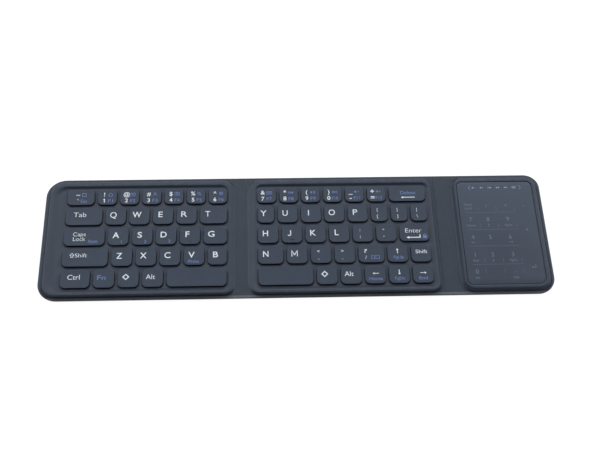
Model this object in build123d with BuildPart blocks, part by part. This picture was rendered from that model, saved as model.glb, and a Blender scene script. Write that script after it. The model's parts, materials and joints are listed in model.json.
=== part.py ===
from build123d import *
from collections import namedtuple
from math import pi, tan
import os

# A folding keyboard of three thin panels in one leather cover, laid open on a table.
# Left and centre panels carry the keys, the right panel a glass touch surface.
# Millimetres, Z up, origin on the table under the middle of the open keyboard, keys read from -Y.

# ------------------------------------------------------------------ driving sizes: plan
DEPTH = 97.6  # front edge to back edge
FLANGE = 2.4  # leather lip that shows outside each rim
COVER_CORNER_R = 10.5
PANEL_Y = -0.5  # panels lie this far in front of the cover's middle line
LEFT_HOUSING = 132.6  # outer foot to outer foot of each rim
CENTRE_HOUSING = 133.9
PAD_HOUSING = 62.5
LEFT_SPINE = 7.5  # between creases: two keyboard panels face to face
RIGHT_SPINE = 12.5  # between creases: the touch panel closes over the left panel's back
LAP_LEFT = 0.1  # crease to the rim foot beside it, from left to right
LAP_CENTRE = 1.6
LAP_CENTRE_RIGHT = 0.3
LAP_PAD = 0.2

# ------------------------------------------------------------------ driving sizes: heights
LEATHER = 1.4  # two bonded sheets, at the lip and across the spines
SKIN = 0.7  # lower sheet alone, under the trays
SUPPORT = 0.3  # aluminium sheet that stiffens the switch film
MEMBRANE = 0.2
DOME_SHEET = 0.15
PLATE = 0.7
PLATE_TOP = 3.4
CAP_BOTTOM = 3.3
KEY_TOP = 4.7
RIM_TOP = 4.8
PAD_RIM_TOP = 4.6
GLASS_TOP = 4.2
GLASS = 0.7

# ------------------------------------------------------------------ driving sizes: rims and trays
RIM_WIDTH = 5.2  # outer foot to the edge of the key opening
RIM_LIP = 1.4  # part of the rim that covers the key plate's edge
RIM_LEAN = 0.8  # how far the outer wall leans in
RIM_SHOULDER = 0.94  # height of the rounded shoulder above the wall
RIM_CREST = 1.95  # outer foot to the highest line
RIM_SLOPE_FROM = 2.9  # outer foot to the top of the slope down to the keys
RIM_ROUND = 0.8  # last facet of the shoulder, which rises by a quarter of its width
PAD_RIM_WIDTH = 3.9
PAD_SHOULDER = 1.08
PAD_LEDGE = 1.2  # shelf that the glass is bonded to
PAD_LEDGE_THICK = 0.6
PAD_CREST = 1.2  # flat top of the pad rim
CREST_EDGE = 0.25
TRAY_INSET = 1.2
TRAY_WALL = 1.0
SHEET_GAP = 0.3
GLASS_GAP = 0.25
SENSOR_INSET = 6.8  # clears the charging socket

# ------------------------------------------------------------------ driving sizes: keys
PITCH = 16.6
NUMBER_PITCH = 15.75
GAP = 2.3
NUMBER_ROW_DEPTH = 15.1
KEY_FRONT = -42.15  # front edge of the front row's cell
LEFT_KEYS_FROM, LEFT_KEYS_TO = -163.5, -47.75
CENTRE_KEYS_FROM, CENTRE_KEYS_TO = -28.5, 94.5
CAP_CORNER_R = 3.5  # round corners, each drawn as three facets
CAP_DRAFT = 5.0
CAP_BEVEL = 0.25
PLATE_CLEARANCE = 0.35
DOME = 4.8
DOME_DRAFT = 35.0
HOME_BAR = (3.2, 0.55, 0.2)
HOME_BAR_FROM_FRONT = 2.6

# ------------------------------------------------------------------ driving sizes: inside the touch panel
SENSOR = 0.3
BATTERY = (40.0, 52.0, 1.5)
BATTERY_Y = -12.0
BATTERY_EDGE_R = 0.6
TAB_STRIP = 3.0
BOARD = (49.0, 15.0, 0.6)
BOARD_Y = 30.0
CHIPS = ((-14.0, 7.0, 7.0), (2.0, 5.0, 5.0), (13.0, 4.0, 3.0))
CHIP_TALL = 0.7
SOCKET = (5.4, 7.4, 2.3)
SOCKET_WALL = 0.25
SOCKET_CHAMFER = 0.6
SOCKET_Y = 30.0
SOCKET_BOTTOM = 1.2
TONGUE = (3.6, 4.4, 0.5)

# ------------------------------------------------------------------ driving sizes: cables in the spines
FLEX = (15.0, 0.2)
FLEX_Y = 29.5
FLEX_BOTTOM = 0.6

# ------------------------------------------------------------------ places along X, from left to right
LENGTH = (
    2 * FLANGE + LEFT_HOUSING + LAP_LEFT + LEFT_SPINE + LAP_CENTRE + CENTRE_HOUSING
    + LAP_CENTRE_RIGHT + RIGHT_SPINE + LAP_PAD + PAD_HOUSING
)
LEFT_EDGE = -LENGTH / 2
RIGHT_EDGE = LENGTH / 2
LEFT_FOOT = LEFT_EDGE + FLANGE
LEFT_CREASE = LEFT_FOOT + LEFT_HOUSING + LAP_LEFT
CENTRE_CREASE_LEFT = LEFT_CREASE + LEFT_SPINE
CENTRE_FOOT = CENTRE_CREASE_LEFT + LAP_CENTRE
CENTRE_CREASE_RIGHT = CENTRE_FOOT + CENTRE_HOUSING + LAP_CENTRE_RIGHT
PAD_CREASE = CENTRE_CREASE_RIGHT + RIGHT_SPINE
PAD_FOOT = PAD_CREASE + LAP_PAD
HOUSING_DEPTH = DEPTH - 2 * FLANGE
FOOT_R = COVER_CORNER_R - FLANGE
DECK_INSET = RIM_WIDTH - RIM_LIP + TRAY_WALL + SHEET_GAP
SOCKET_MOUTH = RIGHT_EDGE - FLANGE - TRAY_INSET

Key = namedtuple("Key", "name x y width depth")

# Key rows from the front to the back, left to right: a name and its cell's width.
# The last key of a row takes what is left of the row.
LEFT_ROWS = [
    [("ctrl", 22.5), ("fn", PITCH), ("system_left", PITCH), ("alt_left", PITCH), ("space_left", None)],
    [("shift_left", 33.8), ("z", PITCH), ("x", PITCH), ("c", PITCH), ("v", PITCH), ("b", None)],
    [("caps_lock", 30.65), ("a", PITCH), ("s", PITCH), ("d", PITCH), ("f", PITCH), ("g", None)],
    [("tab", 28.0), ("q", PITCH), ("w", PITCH), ("e", PITCH), ("r", PITCH), ("t", None)],
    [("grave", 21.6)] + [(f"digit_{n}", NUMBER_PITCH) for n in "12345"] + [("digit_6", None)],
]
CENTRE_ROWS = [
    [("space_right", 40.2), ("system_right", PITCH), ("alt_right", PITCH), ("arrow_left", PITCH),
     ("arrow_down", PITCH), ("arrow_right", None)],
    [("n", 20.0), ("m", PITCH), ("comma", PITCH), ("period", PITCH), ("slash", 20.3),
     ("arrow_up", PITCH), ("shift_right", None)],
    [("h", 16.85), ("j", PITCH), ("k", PITCH), ("l", PITCH), ("semicolon", PITCH), ("quote", PITCH),
     ("enter", None)],
    [("y", 14.2), ("u", PITCH), ("i", PITCH), ("o", PITCH), ("p", PITCH), ("bracket_left", 14.2),
     ("bracket_right", 14.2), ("backslash", None)],
    [(f"digit_{n}", NUMBER_PITCH) for n in "7890"] + [("minus", NUMBER_PITCH), ("equals", NUMBER_PITCH),
     ("delete", None)],
]
# Keys that share one node and one travel: every other key has a node of its own.
KEY_GROUPS = {
    "number_keys_left": ["grave"] + [f"digit_{n}" for n in "123456"],
    "number_keys_centre": [f"digit_{n}" for n in "7890"] + ["minus", "equals", "delete"],
    "side_keys_left": ["tab", "caps_lock", "shift_left", "ctrl", "fn", "system_left", "alt_left"],
    "side_keys_centre": ["shift_right", "system_right", "alt_right", "arrow_left", "arrow_down",
                         "arrow_right", "arrow_up"],
    "punctuation_keys": ["comma", "period", "slash", "semicolon", "quote", "bracket_left",
                         "bracket_right", "backslash"],
}
HOME_KEYS = ("f", "j")


def lay_out_keys(rows, start, end):
    """Give each key of a panel its cap centre and cap size."""
    keys = []
    front = KEY_FRONT
    for row_number, row in enumerate(rows):
        cell_depth = NUMBER_ROW_DEPTH if row_number == len(rows) - 1 else PITCH
        left = start
        for name, cell_width in row:
            width = end - left if cell_width is None else cell_width
            keys.append(Key(name, left + width / 2, front + cell_depth / 2, width - GAP, cell_depth - GAP))
            left += width
        front += cell_depth
    return keys


def round_corners(sketch, radius):
    """Round a sketch's square corners with three facets that touch the true arc."""
    first_cut = radius * (2 - 2 ** 0.5)
    second_cut = radius * (tan(pi / 8) - tan(pi / 16))
    chamfer(sketch.vertices(), first_cut)
    chamfer(sketch.vertices(), second_cut)


def save(builder, name):
    builder.part.label = name
    export_step(builder.part, f"parts/{name}.step")


def panel_outline(foot, housing, inset):
    """A panel's rounded rectangle, drawn in from the rim's outer foot by inset."""
    with Locations((foot + housing / 2, PANEL_Y)):
        RectangleRounded(housing - 2 * inset, HOUSING_DEPTH - 2 * inset, FOOT_R - inset)


def sheet_outline(foot, housing, inset):
    """A square-cornered sheet inside a panel, inset from the rim's outer foot."""
    with Locations((foot + housing / 2, PANEL_Y)):
        Rectangle(housing - 2 * inset, HOUSING_DEPTH - 2 * inset)


def build_cover(name, left, right, foot, housing, outer_end):
    """Leather cover of one panel: a thin sheet with a raised lip round the tray's pocket."""
    with BuildPart() as cover:
        with BuildSketch() as outline:
            with Locations(((left + right) / 2, 0)):
                Rectangle(right - left, DEPTH)
            if outer_end:
                ends = outline.vertices().sort_by(Axis.X)
                fillet(ends[:2] if outer_end < 0 else ends[-2:], COVER_CORNER_R)
        extrude(amount=LEATHER)
        with BuildSketch(Plane.XY.offset(SKIN)):
            panel_outline(foot, housing, TRAY_INSET)
        extrude(amount=LEATHER - SKIN, mode=Mode.SUBTRACT)
    save(cover, name)


def build_spine(name, left, right):
    """Leather strip between two creases, with a slot right through for its flat cable."""
    with BuildPart() as spine:
        with BuildSketch(Plane.YZ.offset(left)):
            with Locations((0, LEATHER / 2)):
                Rectangle(DEPTH, LEATHER)
            with Locations((FLEX_Y, FLEX_BOTTOM + FLEX[1] / 2)):
                Rectangle(*FLEX, mode=Mode.SUBTRACT)
        extrude(amount=right - left)
    save(spine, name)


def build_flex(name, left, right):
    """Flat flexible cable that joins the circuits of two panels, inside its spine."""
    with BuildPart() as flex:
        with BuildSketch(Plane.YZ.offset(left)):
            with Locations((FLEX_Y, FLEX_BOTTOM + FLEX[1] / 2)):
                Rectangle(*FLEX)
        extrude(amount=right - left)
    save(flex, name)


def foot_path(foot, housing):
    """A rim's outer foot as a closed path on top of the leather."""
    with BuildSketch(Plane.XY.offset(LEATHER)) as outline:
        panel_outline(foot, housing, 0)
    return outline.sketch.face().outer_wire()


def section_plane(path):
    """Plane square to the path at its start: local X points into the panel, local Y up."""
    return Plane(origin=path @ 0, x_dir=Vector(0, 0, 1).cross(path % 0), z_dir=path % 0)


def build_key_rim(name, foot, housing):
    """Soft-coated rim of a keyboard panel: leaning wall, rounded shoulder, slope down to the keys."""
    path = foot_path(foot, housing)
    top = RIM_TOP - LEATHER
    slope_foot = PLATE_TOP - LEATHER
    shoulder = (RIM_LEAN, top - RIM_SHOULDER)
    with BuildPart() as rim:
        with BuildSketch(section_plane(path)):
            with BuildLine():
                Line((0, 0), shoulder)
                Polyline(
                    shoulder,
                    (RIM_CREST - RIM_ROUND, top - RIM_ROUND / 4),
                    (RIM_CREST, top),
                    (RIM_SLOPE_FROM, top),
                    (RIM_WIDTH, slope_foot),
                    (RIM_WIDTH - RIM_LIP, slope_foot),
                    (RIM_WIDTH - RIM_LIP, 0),
                    (0, 0),
                )
            make_face()
        sweep(path=path)
    save(rim, name)


def socket_outline(x, wall=0.0):
    """Face across the charging socket, drawn in by wall, with its two lower corners cut off."""
    with BuildSketch(Plane.YZ.offset(x)) as outline:
        with Locations((SOCKET_Y, SOCKET_BOTTOM + SOCKET[2] / 2)):
            Rectangle(SOCKET[1] - 2 * wall, SOCKET[2] - 2 * wall)
        chamfer(outline.vertices().group_by(Axis.Z)[0], SOCKET_CHAMFER)
    return outline.sketch


def cut_socket_slot():
    """Cut the space that the socket and its plug need through the piece that is being made."""
    extrude(socket_outline(SOCKET_MOUTH - SOCKET[0]), amount=SOCKET[0] + 2 * RIM_LEAN, mode=Mode.SUBTRACT)


def build_pad_rim(name, foot, housing):
    """Rim of the touch panel: leaning wall, flat crest, and a shelf inside for the glass."""
    path = foot_path(foot, housing)
    top = PAD_RIM_TOP - LEATHER
    shelf = GLASS_TOP - GLASS - LEATHER
    shoulder = (RIM_LEAN, top - PAD_SHOULDER)
    with BuildPart() as rim:
        with BuildSketch(section_plane(path)):
            with BuildLine():
                Line((0, 0), shoulder)
                Polyline(
                    shoulder,
                    (PAD_RIM_WIDTH - PAD_CREST - RIM_ROUND, top - RIM_ROUND / 4),
                    (PAD_RIM_WIDTH - PAD_CREST, top),
                    (PAD_RIM_WIDTH - CREST_EDGE, top),
                    (PAD_RIM_WIDTH, top - CREST_EDGE),
                    (PAD_RIM_WIDTH, shelf),
                    (PAD_RIM_WIDTH + PAD_LEDGE, shelf),
                    (PAD_RIM_WIDTH + PAD_LEDGE, shelf - PAD_LEDGE_THICK),
                    (PAD_RIM_WIDTH, shelf - PAD_LEDGE_THICK),
                    (PAD_RIM_WIDTH, 0),
                    (0, 0),
                )
            make_face()
        sweep(path=path)
        cut_socket_slot()
    save(rim, name)


def build_tray(name, foot, housing, wall_inset, wall_top, socket_cut=False):
    """Moulded tray of one panel: a floor in the cover's pocket and a wall that carries the deck."""
    with BuildPart() as tray:
        with BuildSketch(Plane.XY.offset(SKIN)):
            panel_outline(foot, housing, TRAY_INSET)
        extrude(amount=LEATHER - SKIN)
        with BuildSketch(Plane.XY.offset(LEATHER)):
            panel_outline(foot, housing, wall_inset)
        extrude(amount=wall_top - LEATHER)
        with BuildSketch(Plane.XY.offset(LEATHER)):
            sheet_outline(foot, housing, wall_inset + TRAY_WALL)
        extrude(amount=wall_top - LEATHER, mode=Mode.SUBTRACT)
        if socket_cut:
            cut_socket_slot()
    save(tray, name)


def build_sheet(name, foot, housing, inset, bottom, thick):
    """Flat sheet in a panel: the aluminium support, the switch film or the touch sensor."""
    with BuildPart() as sheet:
        with BuildSketch(Plane.XY.offset(bottom)):
            sheet_outline(foot, housing, inset)
        extrude(amount=thick)
    save(sheet, name)


def build_dome_sheet(name, foot, housing, keys):
    """Silicone sheet with one hollow-sprung dome under the middle of every key."""
    sheet_bottom = LEATHER + SUPPORT + MEMBRANE
    dome_bottom = sheet_bottom + DOME_SHEET
    with BuildPart() as domes:
        with BuildSketch(Plane.XY.offset(sheet_bottom)):
            sheet_outline(foot, housing, DECK_INSET)
        extrude(amount=DOME_SHEET)
        with BuildSketch(Plane.XY.offset(dome_bottom)):
            with Locations([(key.x, key.y) for key in keys]):
                Rectangle(DOME, DOME)
        extrude(amount=CAP_BOTTOM - dome_bottom, taper=DOME_DRAFT)
    save(domes, name)


def build_key_plate(name, foot, housing, keys):
    """Deck between the keys: one opening for each cap, its edge held under the rim's lip."""
    plate_bottom = PLATE_TOP - PLATE
    corner = (2 - 2 ** 0.5) * (CAP_CORNER_R + PLATE_CLEARANCE)
    with BuildPart() as plate:
        with BuildSketch(Plane.XY.offset(plate_bottom)) as deck:
            with BuildSketch(Plane.XY.offset(plate_bottom), mode=Mode.PRIVATE) as openings:
                for key in keys:
                    with Locations((key.x, key.y)):
                        Rectangle(key.width + 2 * PLATE_CLEARANCE, key.depth + 2 * PLATE_CLEARANCE)
                chamfer(openings.vertices(), corner)
            panel_outline(foot, housing, RIM_WIDTH - RIM_LIP)
            add(openings.sketch, mode=Mode.SUBTRACT)
        extrude(amount=PLATE)
    save(plate, name)


def build_caps(name, keys):
    """Moulded keycaps; the two home keys have a bar to feel."""
    with BuildPart() as caps:
        with BuildSketch(Plane.XY.offset(CAP_BOTTOM)) as outlines:
            for key in keys:
                with Locations((key.x, key.y)):
                    Rectangle(key.width, key.depth)
            round_corners(outlines, CAP_CORNER_R)
        extrude(amount=KEY_TOP - CAP_BOTTOM, taper=CAP_DRAFT)
        chamfer(caps.edges().group_by(Axis.Z)[-1], CAP_BEVEL)
        home_keys = [key for key in keys if key.name in HOME_KEYS]
        for key in home_keys:
            bar_y = key.y - key.depth / 2 + HOME_BAR_FROM_FRONT
            with Locations((key.x, bar_y, KEY_TOP)):
                Box(*HOME_BAR, align=(Align.CENTER, Align.CENTER, Align.MIN))
    save(caps, name)


def build_touch_glass(name, foot, housing):
    """Glass touch surface, bonded to the rim's shelf with a narrow gap all round."""
    with BuildPart() as glass:
        with BuildSketch(Plane.XY.offset(GLASS_TOP - GLASS)):
            panel_outline(foot, housing, PAD_RIM_WIDTH + GLASS_GAP)
        extrude(amount=GLASS)
    save(glass, name)


def build_battery(name, x):
    """Flat lithium pouch cell with a sealed tab strip along its back edge."""
    width, depth, thick = BATTERY
    with BuildPart() as battery:
        with BuildSketch(Plane.XZ.offset(-BATTERY_Y - depth / 2)):
            with Locations((x, LEATHER + thick / 2)):
                RectangleRounded(width, thick, BATTERY_EDGE_R)
        extrude(amount=depth)
        with BuildSketch(Plane.XY.offset(LEATHER)):
            with Locations((x, BATTERY_Y + depth / 2)):
                Rectangle(width - 2 * TAB_STRIP, TAB_STRIP, align=(Align.CENTER, Align.MIN))
        extrude(amount=TAB_STRIP / 4)
    save(battery, name)


def build_main_board(name):
    """Controller board with its packaged chips, beside the charging socket."""
    length, width, thick = BOARD
    x = SOCKET_MOUTH - SOCKET[0] - length / 2
    with BuildPart() as board:
        with BuildSketch(Plane.XY.offset(LEATHER)):
            with Locations((x, BOARD_Y)):
                Rectangle(length, width)
        extrude(amount=thick)
        with BuildSketch(Plane.XY.offset(LEATHER + thick)):
            for chip_x, chip_width, chip_depth in CHIPS:
                with Locations((x + chip_x, BOARD_Y)):
                    Rectangle(chip_width, chip_depth)
        extrude(amount=CHIP_TALL)
    save(board, name)


def build_charge_socket(name):
    """Metal shell of the charging socket, open at its mouth, with its contact tongue."""
    length, _, height = SOCKET
    back = SOCKET_MOUTH - length
    with BuildPart() as socket:
        extrude(socket_outline(back), amount=length)
        extrude(socket_outline(back + SOCKET_WALL, SOCKET_WALL), amount=length, mode=Mode.SUBTRACT)
        with BuildSketch(Plane.YZ.offset(back)):
            with Locations((SOCKET_Y, SOCKET_BOTTOM + height / 2)):
                Rectangle(TONGUE[1], TONGUE[2])
        extrude(amount=TONGUE[0])
    save(socket, name)


def build_key_panel(side, foot, housing, left, right, outer_end, rows, keys_from, keys_to):
    """Every piece of one keyboard panel; its keys are returned for the caps."""
    keys = lay_out_keys(rows, keys_from, keys_to)
    film_bottom = LEATHER + SUPPORT
    build_cover(f"{side}_cover", left, right, foot, housing, outer_end)
    build_tray(f"{side}_tray", foot, housing, RIM_WIDTH - RIM_LIP, PLATE_TOP - PLATE)
    build_sheet(f"{side}_support_plate", foot, housing, DECK_INSET, LEATHER, SUPPORT)
    build_sheet(f"{side}_switch_membrane", foot, housing, DECK_INSET, film_bottom, MEMBRANE)
    build_dome_sheet(f"{side}_dome_sheet", foot, housing, keys)
    build_key_plate(f"{side}_key_plate", foot, housing, keys)
    build_key_rim(f"{side}_rim", foot, housing)
    return keys


def build_touch_panel(foot, housing):
    """Every piece of the touch panel."""
    wall_top = GLASS_TOP - GLASS - PAD_LEDGE_THICK
    build_cover("pad_cover", PAD_CREASE, RIGHT_EDGE, foot, housing, 1)
    build_tray("pad_tray", foot, housing, PAD_RIM_WIDTH, wall_top, socket_cut=True)
    build_pad_rim("pad_rim", foot, housing)
    build_touch_glass("touch_glass", foot, housing)
    build_sheet("touch_sensor_board", foot, housing, SENSOR_INSET, GLASS_TOP - GLASS - SENSOR, SENSOR)
    build_battery("battery", foot + housing / 2)
    build_main_board("main_board")
    build_charge_socket("charge_socket")


os.makedirs("parts", exist_ok=True)
left_keys = build_key_panel(
    "left", LEFT_FOOT, LEFT_HOUSING, LEFT_EDGE, LEFT_CREASE, -1, LEFT_ROWS, LEFT_KEYS_FROM, LEFT_KEYS_TO
)
centre_keys = build_key_panel(
    "centre", CENTRE_FOOT, CENTRE_HOUSING, CENTRE_CREASE_LEFT, CENTRE_CREASE_RIGHT, 0,
    CENTRE_ROWS, CENTRE_KEYS_FROM, CENTRE_KEYS_TO,
)
build_touch_panel(PAD_FOOT, PAD_HOUSING)

for side, left, right in (
    ("left", LEFT_CREASE, CENTRE_CREASE_LEFT),
    ("right", CENTRE_CREASE_RIGHT, PAD_CREASE),
):
    build_spine(f"{side}_spine", left, right)
    build_flex(f"{side}_flex_cable", left, right)

all_keys = left_keys + centre_keys
grouped = [name for group in KEY_GROUPS.values() for name in group]
for key in all_keys:
    if key.name not in grouped:
        build_caps(f"key_{key.name}", [key])
for group_name, members in KEY_GROUPS.items():
    build_caps(group_name, [key for key in all_keys if key.name in members])
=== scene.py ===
"""Looks of a folding keyboard: three thin panels in one leather cover, laid open on a table.

Laid out as an add-on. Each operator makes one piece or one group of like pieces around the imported
frame, and the panel in the sidebar lists them in the order in which they are made.
"""

import json
import math

import bmesh
import bpy
import numpy as np
from mathutils import Matrix, Vector

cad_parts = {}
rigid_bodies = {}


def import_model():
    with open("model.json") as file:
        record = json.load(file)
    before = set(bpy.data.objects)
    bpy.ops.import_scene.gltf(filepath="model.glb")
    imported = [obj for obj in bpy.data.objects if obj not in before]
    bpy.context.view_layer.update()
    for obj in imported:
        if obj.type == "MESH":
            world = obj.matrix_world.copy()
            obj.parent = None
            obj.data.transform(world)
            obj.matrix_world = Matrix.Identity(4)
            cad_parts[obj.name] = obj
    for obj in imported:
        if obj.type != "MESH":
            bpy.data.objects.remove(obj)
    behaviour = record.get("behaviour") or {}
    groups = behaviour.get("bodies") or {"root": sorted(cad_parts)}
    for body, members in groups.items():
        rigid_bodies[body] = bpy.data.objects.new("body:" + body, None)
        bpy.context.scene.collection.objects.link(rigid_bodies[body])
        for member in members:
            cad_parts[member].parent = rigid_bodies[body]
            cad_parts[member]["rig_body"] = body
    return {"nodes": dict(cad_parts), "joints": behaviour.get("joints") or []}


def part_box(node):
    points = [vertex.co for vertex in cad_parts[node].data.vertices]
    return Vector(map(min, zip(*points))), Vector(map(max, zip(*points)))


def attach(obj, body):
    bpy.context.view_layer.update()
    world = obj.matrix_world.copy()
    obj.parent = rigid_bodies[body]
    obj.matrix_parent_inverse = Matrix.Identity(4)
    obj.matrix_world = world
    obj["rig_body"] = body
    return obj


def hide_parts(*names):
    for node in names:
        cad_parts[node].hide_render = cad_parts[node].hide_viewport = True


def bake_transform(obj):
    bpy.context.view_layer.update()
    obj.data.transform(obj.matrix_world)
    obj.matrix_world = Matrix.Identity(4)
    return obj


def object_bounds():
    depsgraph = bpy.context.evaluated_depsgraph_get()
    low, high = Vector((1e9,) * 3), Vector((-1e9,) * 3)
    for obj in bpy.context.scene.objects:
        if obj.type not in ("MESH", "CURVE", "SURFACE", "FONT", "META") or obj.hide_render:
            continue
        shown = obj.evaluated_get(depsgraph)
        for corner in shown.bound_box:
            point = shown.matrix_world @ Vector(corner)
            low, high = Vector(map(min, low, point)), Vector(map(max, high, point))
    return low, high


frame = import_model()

bl_info = {
    "name": "Folding keyboard",
    "version": (1, 0, 0),
    "blender": (4, 5, 0),
    "location": "3D View > Sidebar > Keyboard",
    "description": "Builds the visible pieces and finishes of a folding keyboard round its frame",
    "category": "Add Mesh",
}

MM = 0.001  # the frame is in metres, and the sizes below are in millimetres
CAD_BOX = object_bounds()


# ------------------------------------------------------------------ sizes and colours that a user changes


class KeyboardSizes(bpy.types.PropertyGroup):
    """Sizes that the frame doesn't hold: edges, dishes and thin layers."""

    def length(name, description, default):
        return bpy.props.FloatProperty(
            name=name, description=description, default=default * MM, min=0.0, unit="LENGTH", precision=5
        )

    cap_corner: length("Cap corner", "Radius of a keycap's corners, seen from above", 3.5)
    cap_edge: length("Cap edge", "Radius of the edge round a keycap's top", 0.28)
    cap_draft: length("Cap draft", "How far a keycap's wall leans in", 0.05)
    cap_dish: length("Cap dish", "Depth of the hollow in a keycap's top", 0.08)
    ink: length("Ink", "Height of the printed legends", 0.03)
    opening_gap: length("Opening gap", "Gap between a keycap and the opening round it", 0.2)
    opening_edge: length("Opening edge", "Radius of the edges of the key plate", 0.08)
    leather_edge: length("Leather edge", "Radius of the cover's turned outer edge", 0.45)
    groove_depth: length("Groove depth", "Depth of the groove in the leather beside a rim", 0.45)
    groove_width: length("Groove width", "Half width of the groove in the leather beside a rim", 0.28)
    crease_depth: length("Crease depth", "Depth of the pressed line along a crease", 0.16)
    crease_width: length("Crease width", "Half width of the pressed line along a crease", 0.3)
    flex_rise: length("Flex rise", "How far the leather stands up over a flat cable", 0.07)
    glass_gap: length("Glass gap", "Dark gap between the glass and its rim", 0.35)
    glass_edge: length("Glass edge", "Radius of the glass's ground edge", 0.15)
    glass_ink: length("Glass ink", "Height of the print on the glass", 0.012)


class KeyboardColours(bpy.types.PropertyGroup):
    """Colours of the finishes, as linear values."""

    def colour(name, description, default):
        return bpy.props.FloatVectorProperty(
            name=name, description=description, default=default, subtype="COLOR", size=3, min=0.0, max=1.0
        )

    cap: colour("Keycap", "Soft-touch coat of the keycaps", (0.035, 0.0515, 0.084))
    # Keycap wall: near-black, painted shade on the keycaps' walls.
    cap_wall_shade: colour("Keycap wall", "Uncoated moulding on a keycap's walls", (0.009, 0.013, 0.028))
    coat: colour("Panel coat", "Soft-touch coat of rims and key plates", (0.0395, 0.0525, 0.079))
    leather: colour("Leather", "Grained cover and spines", (0.0315, 0.0465, 0.0735))
    # Front lip: a painted highlight along the leather's front edge.
    front_lip_highlight: colour("Front lip", "Leather painted light along the front edge", (0.13, 0.141, 0.16))
    glass: colour("Glass", "Print behind the touch glass", (0.0415, 0.0595, 0.0965))
    white_ink: colour("White ink", "Main legends", (0.88, 0.94, 1.0))
    blue_ink: colour("Blue ink", "Second legends", (0.165, 0.24, 0.525))
    glass_ink: colour("Glass ink", "Faint print of the touch surface", (0.18, 0.215, 0.275))


def sizes():
    """The scene's sizes."""
    return bpy.context.scene.keyboard_sizes


def colours():
    """The scene's colours."""
    return bpy.context.scene.keyboard_colours


# ------------------------------------------------------------------ meshes from whole arrays


def grid_faces(rows, columns, around=False):
    """Quads of a grid whose point (row, column) has number row * columns + column."""
    last = columns if around else columns - 1
    row, column = np.meshgrid(np.arange(rows - 1), np.arange(last), indexing="ij")
    beside = (column + 1) % columns
    corners = (
        row * columns + column, row * columns + beside,
        (row + 1) * columns + beside, (row + 1) * columns + column,
    )
    return np.stack(corners, axis=-1).reshape(-1, 4)


def make_piece(name, points, faces, materials, smooth=None):
    """Mesh object from an array of points and lists of faces, closed, with its faces pointing outwards."""
    mesh = bpy.data.meshes.new(name)
    mesh.from_pydata(np.asarray(points, float).tolist(), [], [list(map(int, face)) for face in faces])
    for material in materials:
        mesh.materials.append(material)
    return finish_mesh(bpy.data.objects.new(name, mesh), smooth)


def finish_mesh(piece, smooth):
    """Merge doubled points, turn the faces outwards, and shade edges sharper than the angle hard."""
    mesh = piece.data
    work = bmesh.new()
    work.from_mesh(mesh)
    bmesh.ops.remove_doubles(work, verts=work.verts, dist=1e-7)
    bmesh.ops.dissolve_degenerate(work, edges=work.edges, dist=1e-8)
    bmesh.ops.recalc_face_normals(work, faces=work.faces)
    for face in work.faces:
        face.smooth = smooth is not None
    if smooth is not None:
        for edge in work.edges:
            edge.smooth = len(edge.link_faces) < 2 or edge.calc_face_angle(0.0) < smooth
    work.to_mesh(mesh)
    work.free()
    keep_rest(mesh)
    bpy.context.scene.collection.objects.link(piece)
    return piece


def keep_rest(mesh):
    """Store each point's place at rest as an attribute, so that a grain stays on leather that bends."""
    places = np.empty(len(mesh.vertices) * 3, np.float32)
    mesh.vertices.foreach_get("co", places)
    rest = mesh.attributes.new("rest", "FLOAT_VECTOR", "POINT")
    rest.data.foreach_set("vector", places)


def rounded_outline(centre, size, radius, corner_steps=10, side_steps=1):
    """Points and outward normals round a rectangle with round corners, from the front right corner on.

    Each corner is a quarter circle: its centre plus the radius along the normal, as the normal turns. The
    radius is one length, or four: front right, back right, back left and front left.
    """
    radii = np.resize(radius, 4)[:, None]
    half = np.array(size) / 2 - radii
    turns = np.linspace(0, math.pi / 2, corner_steps + 1)
    points, normals = [], []
    for quarter, signs in enumerate(((1, -1), (1, 1), (-1, 1), (-1, -1))):
        angle = turns + (quarter - 1) * math.pi / 2
        normal = np.stack((np.cos(angle), np.sin(angle)), axis=1)
        points.append(np.array(centre) + half[quarter] * signs + radii[quarter] * normal)
        normals.append(normal)
        if side_steps > 1:
            following = np.array(((1, 1), (-1, 1), (-1, -1), (1, -1))[quarter])
            start = points[-1][-1]
            after = (quarter + 1) % 4
            end = np.array(centre) + half[after] * following + radii[after] * normal[-1]
            share = np.arange(1, side_steps)[:, None] / side_steps
            points.append(start + (end - start) * share)
            normals.append(np.repeat(normal[-1:], side_steps - 1, axis=0))
    return np.concatenate(points), np.concatenate(normals)


def carry(profile, points, normals):
    """A profile carried along an outline: row j is the outline, in by the inset j and at the height j."""
    inset, height = np.asarray(profile, float).T
    flat = points[None] - inset[:, None, None] * normals[None]
    up = np.broadcast_to(height[:, None, None], (*flat.shape[:2], 1))
    return np.concatenate((flat, up), axis=2)


def arc(centre, radii, start, end, steps):
    """Points on an ellipse's arc: centre plus the radii times cosine and sine of the angle in degrees."""
    angle = np.radians(np.linspace(start, end, steps + 1))
    return np.stack((centre[0] + radii[0] * np.cos(angle), centre[1] + radii[1] * np.sin(angle)), axis=1)


def box_of(node):
    """Lowest corner, highest corner, middle and size of a node, as arrays."""
    low, high = (np.array(corner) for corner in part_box(node))
    return low, high, (low + high) / 2, high - low


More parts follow.
